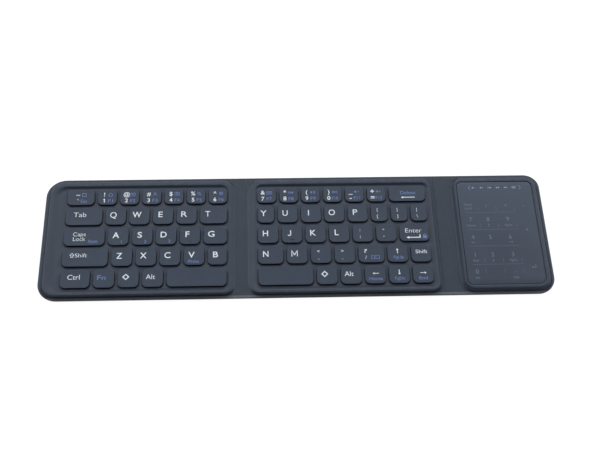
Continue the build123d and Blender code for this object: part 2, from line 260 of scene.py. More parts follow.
def islands(node):
    """Boxes of a node's separate solids, from the back row to the front and from left to right.

    Points that share a place get one number. Each number takes the lowest number that its triangles touch,
    again and again, until each solid has one number.
    """
    mesh = frame["nodes"][node].data
    places = np.empty(len(mesh.vertices) * 3)
    mesh.vertices.foreach_get("co", places)
    places = places.reshape(-1, 3)
    mesh.calc_loop_triangles()
    corners = np.empty(len(mesh.loop_triangles) * 3, np.int32)
    mesh.loop_triangles.foreach_get("vertices", corners)
    _, spot = np.unique(np.round(places / MM, 4), axis=0, return_inverse=True)
    spot = spot.ravel()
    triangles = spot[corners].reshape(-1, 3)
    label = np.arange(spot.max() + 1)
    while True:
        lower = label.copy()
        np.minimum.at(lower, triangles, label[triangles].min(axis=1)[:, None])
        lower = lower[lower]
        if np.array_equal(lower, label):
            break
        label = lower
    solids = [places[label[spot] == number] for number in np.unique(label)]
    boxes = [(solid.min(axis=0), solid.max(axis=0)) for solid in solids]
    return sorted(boxes, key=lambda box: (-round((box[0][1] + box[1][1]) / MM), box[0][0]))


# ------------------------------------------------------------------ shader maths as expressions


class Wire:
    """A socket in a material's node tree. Arithmetic on it adds Math nodes."""

    def __init__(self, tree, socket):
        self.tree = tree
        self.socket = socket

    def node(self, kind, settings=None, output=0, **inputs):
        """Add a node of a type: its settings come first, then the values or links of its sockets."""
        made = self.tree.nodes.new(kind)
        for name, value in (settings or {}).items():
            if name == "stops":
                ramp = made.color_ramp
                while len(ramp.elements) < len(value):
                    ramp.elements.new(0.5)
                for element, (place, colour) in zip(ramp.elements, value):
                    element.position = place
                    element.color = (*colour, 1.0)
            else:
                setattr(made, name, value)
        for name, value in inputs.items():
            self.plug(find_socket(made, name), value)
        return Wire(self.tree, made.outputs[output])

    def plug(self, target, value):
        """Link a socket to a Wire, or give it a number or a colour."""
        if isinstance(value, Wire):
            self.tree.links.new(value.socket, target)
        elif hasattr(value, "__len__") and len(value) == 3 and target.type == "RGBA":
            target.default_value = (*value, 1.0)
        else:
            target.default_value = value

    def maths(self, operation, first, second=0.0, clamp=False):
        """Add a Math node on two values or links."""
        made = self.node("ShaderNodeMath", {"operation": operation, "use_clamp": clamp})
        self.plug(made.socket.node.inputs[0], first)
        self.plug(made.socket.node.inputs[1], second)
        return made

    def __add__(self, other):
        return self.maths("ADD", self, other)

    def __radd__(self, other):
        return self.maths("ADD", other, self)

    def __sub__(self, other):
        return self.maths("SUBTRACT", self, other)

    def __rsub__(self, other):
        return self.maths("SUBTRACT", other, self)

    def __mul__(self, other):
        return self.maths("MULTIPLY", self, other)

    def __rmul__(self, other):
        return self.maths("MULTIPLY", other, self)

    def ramp(self, start, end):
        """0 below start, 1 above end, and a smooth step between."""
        return self.node(
            "ShaderNodeMapRange", {"interpolation_type": "SMOOTHSTEP"},
            Value=self, From_Min=start, From_Max=end,
        )

    def fold(self, pitch):
        """Distance from the middle of the nearest stripe of that pitch, from 0 to half the pitch."""
        return self.maths("PINGPONG", self, pitch / 2)

    def mix(self, low, high):
        """Colour that goes from low to high as this value goes from 0 to 1."""
        made = self.node("ShaderNodeMix", {"data_type": "RGBA"})
        node = made.socket.node
        self.plug(node.inputs[0], self)
        self.plug(node.inputs[6], low)
        self.plug(node.inputs[7], high)
        return Wire(self.tree, node.outputs[2])


def find_socket(node, name):
    """A node's input by its name, written with underscores for spaces."""
    wanted = name.replace("_", " ")
    return next(socket for socket in node.inputs if socket.name == wanted)


class Finish:
    """A material under construction: a Principled surface, a place to read, and a bump."""

    def __init__(self, name, rest=False, **constants):
        self.material = bpy.data.materials.new(name)
        self.material.use_nodes = True
        self.tree = self.material.node_tree
        self.surface = next(node for node in self.tree.nodes if node.type == "BSDF_PRINCIPLED")
        start = Wire(self.tree, None)
        if rest:
            self.place = start.node("ShaderNodeAttribute", {"attribute_name": "rest"}, output=1)
        else:
            self.place = start.node("ShaderNodeTexCoord", output=3)
        parts = self.place.node("ShaderNodeSeparateXYZ", Vector=self.place).socket.node
        self.x, self.y, self.z = (Wire(self.tree, socket) for socket in parts.outputs)
        for socket_name, value in constants.items():
            self.set(socket_name, value)

    def set(self, socket_name, value):
        """Give a socket of the Principled surface a value or a link."""
        self.place.plug(find_socket(self.surface, socket_name), value)

    def noise(self, size, detail=3.0, roughness=0.55):
        """Cloudy noise whose blotches are about this many millimetres across."""
        return self.place.node(
            "ShaderNodeTexNoise", Vector=self.place, Scale=1 / (size * MM), Detail=detail, Roughness=roughness
        )

    def cells(self, size, feature="F1"):
        """Distance to the nearest of scattered points that lie about this many millimetres apart."""
        return self.place.node(
            "ShaderNodeTexVoronoi", {"feature": feature}, Vector=self.place, Scale=1 / (size * MM)
        )

    def bump(self, height, depth, strength=1.0):
        """Relief of this depth in millimetres where the height goes from 0 to 1."""
        self.set(
            "Normal",
            self.place.node("ShaderNodeBump", Height=height, Strength=strength, Distance=depth * MM),
        )

    def facing_up(self):
        """1 where the surface faces straight up on its own panel, and 0 on a wall."""
        normal = self.place.node("ShaderNodeTexCoord", output=1)
        parts = normal.node("ShaderNodeSeparateXYZ", Vector=normal).socket.node
        return Wire(self.tree, parts.outputs[2])


def tone(colour, factor):
    """A colour made lighter or darker by a factor."""
    return tuple(min(1.0, channel * factor) for channel in colour)


def soft_coat(name, colour, wall=None, wear_from=None):
    """Soft-touch coat: a fine spark texture, faint clouds and finger polish; painted shade on walls when a
    wall colour is given.
    """
    finish = Finish(name, Specular_IOR_Level=0.35, Sheen_Weight=0.04, Sheen_Roughness=0.4)
    clouds = finish.noise(14, 3).ramp(0.3, 0.75)
    body = clouds.mix(tone(colour, 0.94), tone(colour, 1.05))
    fleck = finish.noise(0.5, 2)
    body = fleck.ramp(0.35, 0.7).mix(body, tone(colour, 1.12))
    if wall is not None:
        # Painted shade: surfaces that don't face up take the dark wall colour.
        body = finish.facing_up().ramp(0.3, 0.8).mix(wall, body)
    if wear_from is not None:
        worn = finish.z.ramp(wear_from, wear_from + 0.3 * MM) * finish.noise(3, 4).ramp(0.42, 0.7)
        body = (worn * 0.55).mix(body, tone(colour, 1.5))
    finish.set("Base_Color", body)
    finish.set("Roughness", 0.52 + finish.noise(9, 4) * 0.16 - finish.noise(2.4, 2) * 0.06)
    finish.bump(finish.noise(0.16, 2) + finish.cells(0.22) * 0.5, 0.012, 0.6)
    return finish.material


# Lines painted into the leather beside the rims, painted highlights and painted shade: where they fade, from
# their middle and from the panel's.
SIDE_LINE_EDGE = 0.15 * MM, 0.5 * MM
SIDE_LINE_END = 36 * MM, 40 * MM
SIDE_LINE_OUT = 0.3 * MM  # rim's foot to the middle of the line


def leather():
    """Fine pebbled leather: rounded grains between creases, broad clouds, darker in the furrows.

    The top of the lip is painted lighter, a painted highlight, most along the front and also at the ends.
    """
    colour = tuple(colours().leather)
    finish = Finish(
        "cover_leather", rest=True, Specular_IOR_Level=0.4, Sheen_Weight=0.05, Sheen_Roughness=0.5
    )
    grain = finish.cells(0.85, "SMOOTH_F1")
    furrow = finish.place.node(
        "ShaderNodeTexVoronoi", {"feature": "DISTANCE_TO_EDGE"}, Vector=finish.place, Scale=1 / (0.9 * MM)
    ).ramp(0.0, 0.16)
    clouds = finish.noise(22, 4).ramp(0.3, 0.72)
    body = clouds.mix(tone(colour, 0.92), tone(colour, 1.08))
    body = furrow.mix(tone(colour, 0.8), body)
    along = finish.place.maths("ABSOLUTE", finish.y - box_of("left_rim")[2][1])
    # Painted highlights and painted shade along the rims' feet.
    for x, strength, factor in painted_foot_lines():
        beside = finish.place.maths("ABSOLUTE", finish.x - x)
        line_share = (1 - beside.ramp(*SIDE_LINE_EDGE)) * (1 - along.ramp(*SIDE_LINE_END))
        body = (line_share * strength).mix(body, tone(colour, factor))
    half_length, half_depth = CAD_BOX[1][0], CAD_BOX[1][1]
    ends = finish.place.maths("ABSOLUTE", finish.x).ramp(half_length - 2.6 * MM, half_length - 0.8 * MM)
    front = (0 - finish.y).ramp(half_depth - 2.2 * MM, half_depth - 1.7 * MM)
    upper = finish.z.ramp(0.5 * MM, 1.1 * MM)
    # Painted highlight: the top of the lip is lightened at the keyboard's ends, and along the front with the
    # front lip colour.
    body = (ends * upper * 0.8).mix(body, tone(colour, 1.6))
    body = (front * upper * 0.9).mix(body, tuple(colours().front_lip_highlight))
    finish.set("Base_Color", body)
    finish.set("Roughness", 0.58 + finish.noise(6, 3) * 0.14 - furrow * 0.06)
    finish.bump(furrow * 0.7 + (1 - grain) * 0.3 + finish.noise(0.3, 3) * 0.35, 0.035, 0.55)
    return finish.material


def painted_foot_lines():
    """Lines in the leather outside the rims' feet along the spines: place in X, strength and tone.

    Three are painted highlights, and the one to the right of the centre panel is painted shade in the crevice
    at its foot.
    """
    centre_low, centre_high, _, _ = box_of("centre_rim")
    return [
        (box_of("left_rim")[1][0] + SIDE_LINE_OUT, 0.15, 1.6), (centre_low[0] - SIDE_LINE_OUT, 0.8, 1.6),
        (centre_high[0] + SIDE_LINE_OUT, 0.8, 0.5), (box_of("pad_rim")[0][0] - SIDE_LINE_OUT, 0.9, 2.3),
    ]


def ink(name, colour, spread=0.5):
    """Silk-screened ink: nearly even, with pinholes and a slightly thinner edge."""
    finish = Finish(name, Specular_IOR_Level=0.3)
    body = finish.noise(0.35, 3).ramp(0.3, 0.62).mix(tone(colour, 1 - 0.3 * spread), colour)
    finish.set("Base_Color", body)
    finish.set("Roughness", 0.45 + finish.noise(1.2, 2) * 0.2)
    finish.bump(finish.noise(0.12, 2), 0.004, 0.5)
    return finish.material


def glass_finish():
    """Satin cover glass: dark print behind it, a soft gloss, faint smears from fingers, and a painted
    reflection that makes it lighter towards the back.
    """
    colour = tuple(colours().glass)
    finish = Finish("touch_glass", Specular_IOR_Level=0.4)
    # Painted reflection of the back lamp: darker at the front, lighter at the back.
    depth = finish.y.ramp(-45 * MM, 45 * MM)
    body = depth.mix(tone(colour, 0.77), tone(colour, 1.18))
    body = finish.noise(30, 3).ramp(0.35, 0.7).mix(body, tone(colour, 1.05))
    smear = finish.noise(11, 5).ramp(0.42, 0.75) * finish.noise(4, 3).ramp(0.3, 0.8)
    finish.set("Base_Color", (smear * 0.3).mix(body, tone(colour, 1.25)))
    finish.set("Roughness", 0.55 + smear * 0.12)
    finish.bump(finish.noise(0.2, 2), 0.003, 0.4)
    return finish.material


def aluminium(name, colour, grain_size, rough):
    """Rolled sheet: fine lines along X, faint stains."""
    finish = Finish(name, Metallic=1.0)
    stretched = finish.place.node("ShaderNodeMapping", Vector=finish.place, Scale=(0.04, 1.0, 1.0))
    lines = finish.place.node(
        "ShaderNodeTexNoise", Vector=stretched, Scale=1 / (grain_size * MM), Detail=4.0
    )
    finish.set("Base_Color", lines.ramp(0.3, 0.7).mix(tone(colour, 0.88), colour))
    finish.set("Roughness", rough + lines * 0.14 + finish.noise(12, 3) * 0.08)
    finish.bump(lines, 0.01, 0.4)
    return finish.material


def moulded_plastic():
    """Tray moulding with a coarse spark texture."""
    colour = (0.03, 0.034, 0.04)
    finish = Finish("housing_plastic", Specular_IOR_Level=0.45)
    finish.set("Base_Color", finish.noise(8, 4).ramp(0.3, 0.7).mix(tone(colour, 0.85), tone(colour, 1.2)))
    finish.set("Roughness", 0.5 + finish.noise(0.5, 2) * 0.2)
    finish.bump(finish.noise(0.3, 3), 0.03, 0.7)
    return finish.material


def switch_film():
    """Milky polyester film with printed silver tracks along both directions."""
    finish = Finish("switch_film", Specular_IOR_Level=0.5)
    across = 1 - finish.x.fold(4.15 * MM).ramp(0.35 * MM, 0.5 * MM)
    along = 1 - finish.y.fold(5.5 * MM).ramp(0.35 * MM, 0.5 * MM)
    track = finish.place.maths("MAXIMUM", across * finish.noise(20, 1).ramp(0.45, 0.5), along)
    finish.set("Base_Color", track.mix((0.55, 0.58, 0.6), (0.32, 0.33, 0.34)))
    finish.set("Roughness", 0.3 + track * 0.25)
    finish.bump(track, 0.02, 0.5)
    return finish.material


def silicone():
    """Dark grey silicone, dusty and matt, kept dark as painted shade in the gaps round the keys."""
    finish = Finish("dome_silicone", Specular_IOR_Level=0.3)
    finish.set("Base_Color", finish.noise(5, 4).ramp(0.3, 0.7).mix((0.03, 0.033, 0.04), (0.05, 0.055, 0.065)))
    finish.set("Roughness", 0.6 + finish.noise(2, 3) * 0.2)
    finish.bump(finish.noise(0.4, 3), 0.02, 0.5)
    return finish.material


def circuit_board():
    """Solder mask over tracks: rounded squares of copper pitch show lighter, with bare pads."""
    finish = Finish("circuit_board", Specular_IOR_Level=0.5)
    across = 1 - finish.x.fold(1.6 * MM).ramp(0.14 * MM, 0.2 * MM)
    along = 1 - finish.y.fold(1.6 * MM).ramp(0.14 * MM, 0.2 * MM)
    field = finish.noise(5, 1).ramp(0.5, 0.52)
    track = field * across + (1 - field) * along
    pads = 1 - finish.cells(1.7).ramp(0.12, 0.16)
    mask = track.mix((0.008, 0.05, 0.03), (0.015, 0.1, 0.055))
    finish.set("Base_Color", pads.mix(mask, (0.65, 0.5, 0.25)))
    finish.set("Metallic", pads * 0.9)
    finish.set("Roughness", 0.3 + finish.noise(2, 2) * 0.15)
    finish.bump(track + pads, 0.03, 0.6)
    return finish.material


def battery_foil():
    """Pouch foil with shallow dimples and a dull print-free face."""
    finish = Finish("battery_pouch", Metallic=0.85)
    dimples = finish.cells(3.2, "SMOOTH_F1")
    finish.set("Base_Color", finish.noise(7, 4).ramp(0.3, 0.7).mix((0.55, 0.55, 0.57), (0.7, 0.7, 0.72)))
    finish.set("Roughness", 0.34 + finish.noise(3, 3) * 0.2)
    finish.bump(dimples + finish.noise(1.1, 3) * 0.4, 0.08, 0.5)
    return finish.material


def flex_film():
    """Amber film over copper conductors that run from panel to panel."""
    finish = Finish("flex_film", Specular_IOR_Level=0.5)
    conductor = 1 - finish.y.fold(1.0 * MM).ramp(0.22 * MM, 0.3 * MM)
    finish.set("Base_Color", conductor.mix((0.32, 0.13, 0.02), (0.6, 0.3, 0.08)))
    finish.set("Roughness", 0.28 + finish.noise(1.5, 2) * 0.15)
    finish.bump(conductor, 0.02, 0.6)
    return finish.material


def plated_steel():
    """Stamped socket shell: bright plating with fine draw lines along the plug's way."""
    finish = Finish("socket_steel", Metallic=1.0)
    stretched = finish.place.node("ShaderNodeMapping", Vector=finish.place, Scale=(0.1, 1.0, 1.0))
    lines = finish.place.node("ShaderNodeTexNoise", Vector=stretched, Scale=1 / (0.2 * MM), Detail=3.0)
    finish.set("Base_Color", lines.ramp(0.3, 0.7).mix((0.5, 0.5, 0.5), (0.66, 0.66, 0.66)))
    finish.set("Roughness", 0.22 + lines * 0.16)
    finish.bump(lines, 0.006, 0.4)
    return finish.material


# ------------------------------------------------------------------ leather: covers and spines

LEATHER_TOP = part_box("left_spine")[1].z
SKIN_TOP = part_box("left_tray")[0].z
COVER_CORNER = 10.5 * MM
FOOT_CORNER = 8.1 * MM  # corner radius of a rim's outer foot
POCKET = 1.2 * MM  # rim's foot to the pocket that holds the tray
UNDER_RIM = 1.0 * MM  # how far a fold piece reaches under the rim beside it
CREASE_REACH = 1.5 * MM  # from a crease to where the spine's leather is flat again
CREASE_ROLL_AT = 2.2  # from a crease to the ridge beside its line, in half widths of the line
CREASE_ROLL = 0.35  # height of the ridge over the line's depth
FLEX_SOFT = 0.3 * MM  # how softly the rise over a flat cable falls off
FLEX_FROM_CREASE = 0.8 * MM  # from a crease to the rise
GROOVE_FROM_FOOT = -0.02 * MM  # rim's foot to the middle of the groove beside it
END_GROOVE_LESS = 0.35  # share that the groove loses at the keyboard's ends
FRONT_GROOVE = 0.2  # depth of the groove at the front over its depth elsewhere
BESIDE_FOOT = np.linspace(-0.5, 0.95, 18) * MM  # distances of an end cover's rows from the rim's foot


def edge_profile(radius):
    """Insets and heights round the leather's turned edge, from its top to its bottom."""
    top = arc((radius, LEATHER_TOP - radius), (radius, radius), 90, 180, 6)
    bottom = arc((radius, radius), (radius, radius), 180, 270, 6)
    return np.concatenate((top, bottom))


def smooth_step(value, start, end):
    """0 below start, 1 above end, and a smooth step between: 3t squared less 2t cubed."""
    t = np.clip((value - start) / (end - start), 0, 1)
    return t * t * (3 - 2 * t)


def groove(distance, forward, at_front):
    """Depth of the groove beside a rim, by the distance out from its foot: a bell curve.

    It is shallower at the front, and fades where the foot turns towards a spine, as forward goes from 1 (a
    side along X) to 0.
    """
    bell = np.exp(-(((distance - GROOVE_FROM_FOOT) / sizes().groove_width) ** 2))
    depth = sizes().groove_depth * np.where(at_front, FRONT_GROOVE, 1.0)
    return depth * bell * smooth_step(forward, 0.35, 0.95)


def from_foot(rim_node, x, y):
    """Distance outwards from a rim's foot, and the share of that way out that points along Y.

    The foot is a rectangle with round corners: q is how far a point lies beyond the corners' centres, and the
    distance is the length of q's positive part, less the radius.
    """
    _, _, centre, size = box_of(rim_node)
    q = np.stack((np.abs(x - centre[0]) - size[0] / 2, np.abs(y - centre[1]) - size[1] / 2)) + FOOT_CORNER
    beyond = np.hypot(*np.maximum(q, 0))
    forward = np.maximum(q[1], 0) / np.maximum(beyond, 1e-9)
    return beyond + np.minimum(q.max(axis=0), 0) - FOOT_CORNER, forward


def beside_rim(rim_node):
    """Relief of the leather round a panel: the groove at the rim's foot, and the tray's pocket inside it."""

    def top(x, y):
        distance, forward = from_foot(rim_node, x, y)
        in_pocket = distance < -POCKET
        return -groove(distance, forward, y < 0) - (LEATHER_TOP - SKIN_TOP) * in_pocket

    return top


def half_cover(side, places, edge_y, foot_y, foot_rows, edge_rows, end_inset, corners):
    """Rows of points for the front or the back half of an end cover, from the fold end round to mid end.

    Columns run straight along X and then round the corner's quarter circle. A foot row at distance d lies
    at the rim's foot, and near the fold it follows the foot's own corner: y is the corner centre's y plus
    the root of (r + d) squared less x squared. An edge row at inset i lies in from the leather's edge. The
    foot's quarter circle is narrowed to an ellipse by the end inset, and the groove is shallower at the end.
    """
    outwards = 1 if edge_y > 0 else -1
    edge_corner, foot_corner = corners
    fold_foot_x, inner_x, outer_x = places
    corner_x = outer_x - side * edge_corner
    foot_corner_x = outer_x - side * (COVER_CORNER - FOOT_CORNER + foot_corner)
    arc_x = fold_foot_x + side * FOOT_CORNER
    straight = np.concatenate((
        np.linspace(inner_x, arc_x, 17)[:-1], np.linspace(arc_x, corner_x, 9)[:-1],
    ))
    turns = np.linspace(math.pi / 2, 0, 17)
    past_arc = np.maximum((arc_x - straight) * side, 0)
    rows = []
    for distance, height in foot_rows:
        reach = np.sqrt(np.maximum((FOOT_CORNER + distance) ** 2 - past_arc ** 2, 0))
        forward = reach / (FOOT_CORNER + distance)
        radius = foot_corner + distance
        x = np.concatenate((straight, foot_corner_x + side * (radius - end_inset) * np.cos(turns)))
        inwards = np.concatenate((FOOT_CORNER - reach, foot_corner - radius * np.sin(turns)))
        y = foot_y - outwards * inwards
        at_end = groove(distance, 1.0, False) * (1 - END_GROOVE_LESS * np.cos(turns) ** 2)
        round_corner = at_end + (groove(distance, 1.0, outwards < 0) - at_end) * np.sin(turns) ** 2
        depth = np.concatenate((groove(distance, forward, outwards < 0), round_corner))
        rows.append(np.stack((x, y, height - depth), axis=1))
    for inset, height in edge_rows:
        radius = edge_corner - inset
        x = np.concatenate((straight, corner_x + side * radius * np.cos(turns)))
        inwards = np.concatenate((np.full(len(straight), inset), edge_corner - radius * np.sin(turns)))
        y = edge_y - outwards * inwards
        rows.append(np.stack((x, y, np.full(len(x), height)), axis=1))
    return np.stack(rows)


def end_cover(name, rim_node, depth, end_inset, front, back):
    """Cover of an end panel: pocket, groove, lip and turned edge round its three free sides.

    It is closed to the middle line. The front and the back corner each have two radii: the edge's and the
    foot's.
    """
    low, high, _, _ = box_of(rim_node)
    side = 1 if low[0] > 0 else -1
    outer_x = CAD_BOX[1][0] if side > 0 else CAD_BOX[0][0]
    fold_foot_x = low[0] if side > 0 else high[0]
    inner_x = fold_foot_x + side * UNDER_RIM
    corner_x = outer_x - side * max(front + back)
    foot_rows = [(-POCKET, SKIN_TOP), (-POCKET, LEATHER_TOP)]
    foot_rows += [(distance, LEATHER_TOP) for distance in BESIDE_FOOT]
    edge_rows = edge_profile(sizes().leather_edge)
    places = fold_foot_x, inner_x, outer_x
    halves = [
        half_cover(side, places, edge_y, foot_y, foot_rows, edge_rows, end_inset, corners)
        for edge_y, foot_y, corners in ((-depth / 2, low[1], front), (depth / 2, high[1], back))
    ]
    ring = np.concatenate((halves[0], halves[1][:, ::-1]), axis=1)
    middle = np.clip(ring[0, :, 0], min(inner_x, corner_x), max(inner_x, corner_x))
    top = np.stack((middle, np.zeros_like(middle), np.full_like(middle, SKIN_TOP)), axis=1)
    bottom = top * (1, 1, 0)
    rows = np.concatenate((top[None], ring, bottom[None]))
    count, columns = rows.shape[:2]
    faces = grid_faces(count, columns).tolist()
    first = np.arange(count) * columns
    faces.append([*first, *(first + columns - 1)[::-1]])
    return make_piece(name, rows.reshape(-1, 3), faces, [FINISHES["leather"]], smooth=math.radians(40))


def leather_strip(name, stations, depth, top, fine_at):
    """Leather across a fold: one closed section with turned front and back edges, at each station in X.

    The upper side's height is the function top of X and Y; the lower side is flat on the table. The section
    has more points near the two places fine_at, which are the front and the back foot of the rims.
    """
    profile = edge_profile(sizes().leather_edge)
    half = depth / 2
    across = np.linspace(-1, 1, 97)[1:-1] * (half - profile[0][0])
    pocket_wall = -POCKET / MM - 0.01, -POCKET / MM + 0.01
    close = np.concatenate((pocket_wall, np.linspace(-0.9, 1.1, 19))) * MM
    across = np.unique(np.concatenate((across, fine_at[0] - close, fine_at[1] + close)).round(7))
    back = np.stack((half - profile[:, 0], profile[:, 1]), axis=1)
    front = np.stack((profile[:, 0] - half, profile[:, 1]), axis=1)[::-1]
    upper = np.stack((across, np.full_like(across, LEATHER_TOP)), axis=1)
    lower = np.stack((across[::-4], np.zeros_like(across[::-4])), axis=1)
    section = np.concatenate((upper, back, lower, front))
    x = np.repeat(stations[:, None], len(section), axis=1)
    y = np.repeat(section[None, :, 0], len(stations), axis=0)
    z = np.repeat(section[None, :, 1], len(stations), axis=0)
    share = np.clip((z - SKIN_TOP) / (LEATHER_TOP - SKIN_TOP), 0, 1)
    z = z + share * top(x, y)
    points = np.stack((x, y, z), axis=-1)
    faces = grid_faces(len(stations), len(section), around=True).tolist()
    last = (len(stations) - 1) * len(section)
    faces.append(list(range(len(section))))
    faces.append([last + i for i in range(len(section))][::-1])
    return make_piece(name, points.reshape(-1, 3), faces, [FINISHES["leather"]], smooth=math.radians(40))


def fold_relief(creases, flex):
    """Relief of a spine: a pressed line along each crease, and a low rise over the flat cable.

    The line is a bell curve down, with a lower one up on both of its sides. The rise is level between the
    creases, and falls off along Y by two logistic curves at the cable's edges.
    """
    depth, width = sizes().crease_depth, sizes().crease_width
    rise = sizes().flex_rise
    flex_low, flex_high = flex

    def top(x, y):
        pressed = sum(np.exp(-(((x - crease) / width) ** 2)) for crease in creases)
        beside = [np.abs(x - crease) - CREASE_ROLL_AT * width for crease in creases]
        rolled = sum(np.exp(-((distance / width) ** 2)) for distance in beside)
        over = 1 / (1 + np.exp(-(y - flex_low) / FLEX_SOFT)) / (1 + np.exp((y - flex_high) / FLEX_SOFT))
        inside = (x > min(creases) + FLEX_FROM_CREASE) & (x < max(creases) - FLEX_FROM_CREASE)
        return rise * over * inside - depth * pressed + CREASE_ROLL * depth * rolled

    return top


# ------------------------------------------------------------------ rims, plates and glass

RIM_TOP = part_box("left_rim")[1].z
PLATE_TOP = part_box("left_key_plate")[1].z
PLATE_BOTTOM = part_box("left_key_plate")[0].z
PAD_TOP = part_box("pad_rim")[1].z
GLASS_LOW, GLASS_TOP = (corner.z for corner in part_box("touch_glass"))
RIM_WIDTH, RIM_LIP = 5.2 * MM, 1.4 * MM
PAD_WIDTH, PAD_CREST = 3.9 * MM, 1.2 * MM
PAD_BACK_EXTRA, PAD_SPINE_LESS = 0.6 * MM, 0.4 * MM
PAD_LEDGE, PAD_LEDGE_THICK = 1.2 * MM, 0.6 * MM
GLASS_AWAY = 0.12 * MM  # how far the glass is set off from the spine
GLASS_BACK_OUT = 0.2 * MM  # how much further out its back edge is
COVER_RISE = 0.04 * MM  # how far the coat stands over the key plate where the rim's slope ends
# Rings of the key rims: foot, outer crest, inner crest and foot of the slope. Each holds how far it lies in
# from the frame's foot at the left, right, front and back, its corner radius, and what the left corners'
# radius has over that, in millimetres.
LEFT_RINGS = (
    (0.8, 0.0, 0.25, 0.3, 8.1, 1.2), (2.3, 4.2, 0.75, 2.7, 6.2, 3.0),
    (3.0, 4.6, 1.9, 4.2, 5.6, 3.6), (8.0, 5.2, 3.7, 6.4, 5.0, 2.0),
)
CENTRE_RINGS = (
    (0.0, 0.0, 0.25, 0.3, 8.1, 0.0), (4.2, 3.0, 0.75, 2.7, 6.2, 0.0),
    (4.6, 3.4, 1.9, 4.2, 5.6, 0.0), (5.2, 5.2, 3.7, 6.4, 4.0, 0.0),
)
# How far the key rims' crests sink towards their left and their right side, in millimetres.
LEFT_DROPS = 0.4, 1.1
CENTRE_DROPS = 1.25, 0.55
# Corner radii at the keyboard's ends, front and back: the leather's edge and the rim's foot.
LEFT_CORNERS = (13.5 * MM, 9.3 * MM), (14.0 * MM, 9.3 * MM)
PAD_CORNERS = (12.7 * MM, 9.9 * MM), (10.8 * MM, 8.4 * MM)


def swell(start, end, steps):
    """Profile points from start to end along half a cosine wave, without the first point."""
    t = np.linspace(0, 1, steps + 1)[1:, None]
    share = np.concatenate((t, (1 - np.cos(math.pi * t)) / 2), axis=1)
    return np.array(start) + (np.array(end) - start) * share


def panel_ring(rim_node, left, right, front, back, radius, left_more=0.0):
    """Rectangle with round corners inside a panel, by its millimetres in from the frame's rim foot."""
    low, high, _, _ = box_of(rim_node)
    low = low[:2] + np.array((left, front)) * MM
    high = high[:2] - np.array((right, back)) * MM
    radii = np.array((radius, radius, radius + left_more, radius + left_more)) * MM
    return rounded_outline((low + high) / 2, high - low, radii, corner_steps=24, side_steps=6)


def facing(normals, sides):
    """Share of the sides along X in an outline's points: the square of the normal's part towards them."""
    return sum(np.where(side * normals[:, 0] > 0, normals[:, 0] ** 2, 0) for side in sides)


def key_rim(name, node, rings, spine_sides, drops):
    """Rim of a keyboard panel, lofted through four rings: foot, outer and inner crest, foot of the slope.

    The wall is part of a superellipse along the free sides, with horizontal share 1 - cos(a) ** 0.8 and
    vertical share sin(a) ** 0.6 of the way from foot to crest. Along the spines it is between a straight
    line and half a cosine wave. The slope to the keys is a cosine wave all round. The crest sinks by the
    two drops, in millimetres, towards the left and the right side.
    """
    foot, crest_out, crest_in, slope_foot = (panel_ring(node, *ring)[0] for ring in rings)
    normals = panel_ring(node, *rings[0])[1]
    spine = facing(normals, spine_sides)
    top = RIM_TOP - facing(normals, (-1,)) * drops[0] * MM - facing(normals, (1,)) * drops[1] * MM
    angle = np.linspace(0, math.pi / 2, 15)[:, None]
    wave = (1 - np.cos(2 * angle)) / 2
    across = (1 - np.cos(angle) ** 0.8) * (1 - spine) + 2 * angle / math.pi * spine
    along = np.sin(angle) ** 0.6 * (1 - spine) + (wave + 2 * angle / math.pi) / 2 * spine
    wall = ring_rows(foot, crest_out, across, LEATHER_TOP + (top - LEATHER_TOP) * along)
    crest = ring_rows(crest_out, crest_in, np.array([[0.35], [0.7]]), np.stack((top, top)))
    share = np.linspace(0, 1, 17)[:, None]
    fall = (1 + np.cos(math.pi * share)) / 2
    bottom = PLATE_TOP + COVER_RISE
    slope = ring_rows(crest_in, slope_foot, share, bottom + (top - bottom) * fall)
    lip = panel_ring(node, *[(RIM_WIDTH - RIM_LIP) / MM] * 4, (FOOT_CORNER - RIM_WIDTH + RIM_LIP) / MM)[0]
    flat = np.full(len(lip), PLATE_TOP)
    under = np.stack((
        np.column_stack((slope_foot, flat)), np.column_stack((lip, flat)),
        np.column_stack((lip, np.full(len(lip), LEATHER_TOP))),
    ))
    grid = np.concatenate((wall, crest, slope, under, wall[:1]))
    return make_piece(
        name, grid.reshape(-1, 3), grid_faces(*grid.shape[:2], around=True), [FINISHES["coat"]],
        smooth=math.radians(50),
    )


def ring_rows(start, end, share, height):
    """Rows of points between two rings: each row has its share of the way and its height."""
    share, height = np.broadcast_arrays(share, height)
    flat = start + (end - start) * share[..., None]
    return np.concatenate((flat, height[..., None]), axis=2)


def pad_rim_profiles():
    """Two sections of the touch panel's rim, point for point: its free sides' and its spine side's.

    Both end in a nearly flat crest and a short wall down to the shelf that the glass lies on.
    """
    lean, spring, crest, edge = 0.6 * MM, PAD_TOP - 1.35 * MM, PAD_WIDTH - PAD_CREST, 0.25 * MM
    shoulder = arc((crest, spring), (crest - lean, PAD_TOP - spring), 180, 90, 12)
    low_top = GLASS_TOP + 0.1 * MM
    foot = [(0, LEATHER_TOP)]
    inner = arc((PAD_WIDTH - edge, -edge), (edge, edge), 90, 0, 5)
    under = [
        (PAD_WIDTH, GLASS_LOW), (PAD_WIDTH + PAD_LEDGE, GLASS_LOW),
        (PAD_WIDTH + PAD_LEDGE, GLASS_LOW - PAD_LEDGE_THICK), (PAD_WIDTH, GLASS_LOW - PAD_LEDGE_THICK),
        (PAD_WIDTH, LEATHER_TOP),
    ]
    free = np.concatenate((foot, shoulder, inner + (0, PAD_TOP), under))
    spine = np.concatenate((foot, swell(foot[0], (crest, low_top), 13), inner + (0, low_top), under))
    return free, spine


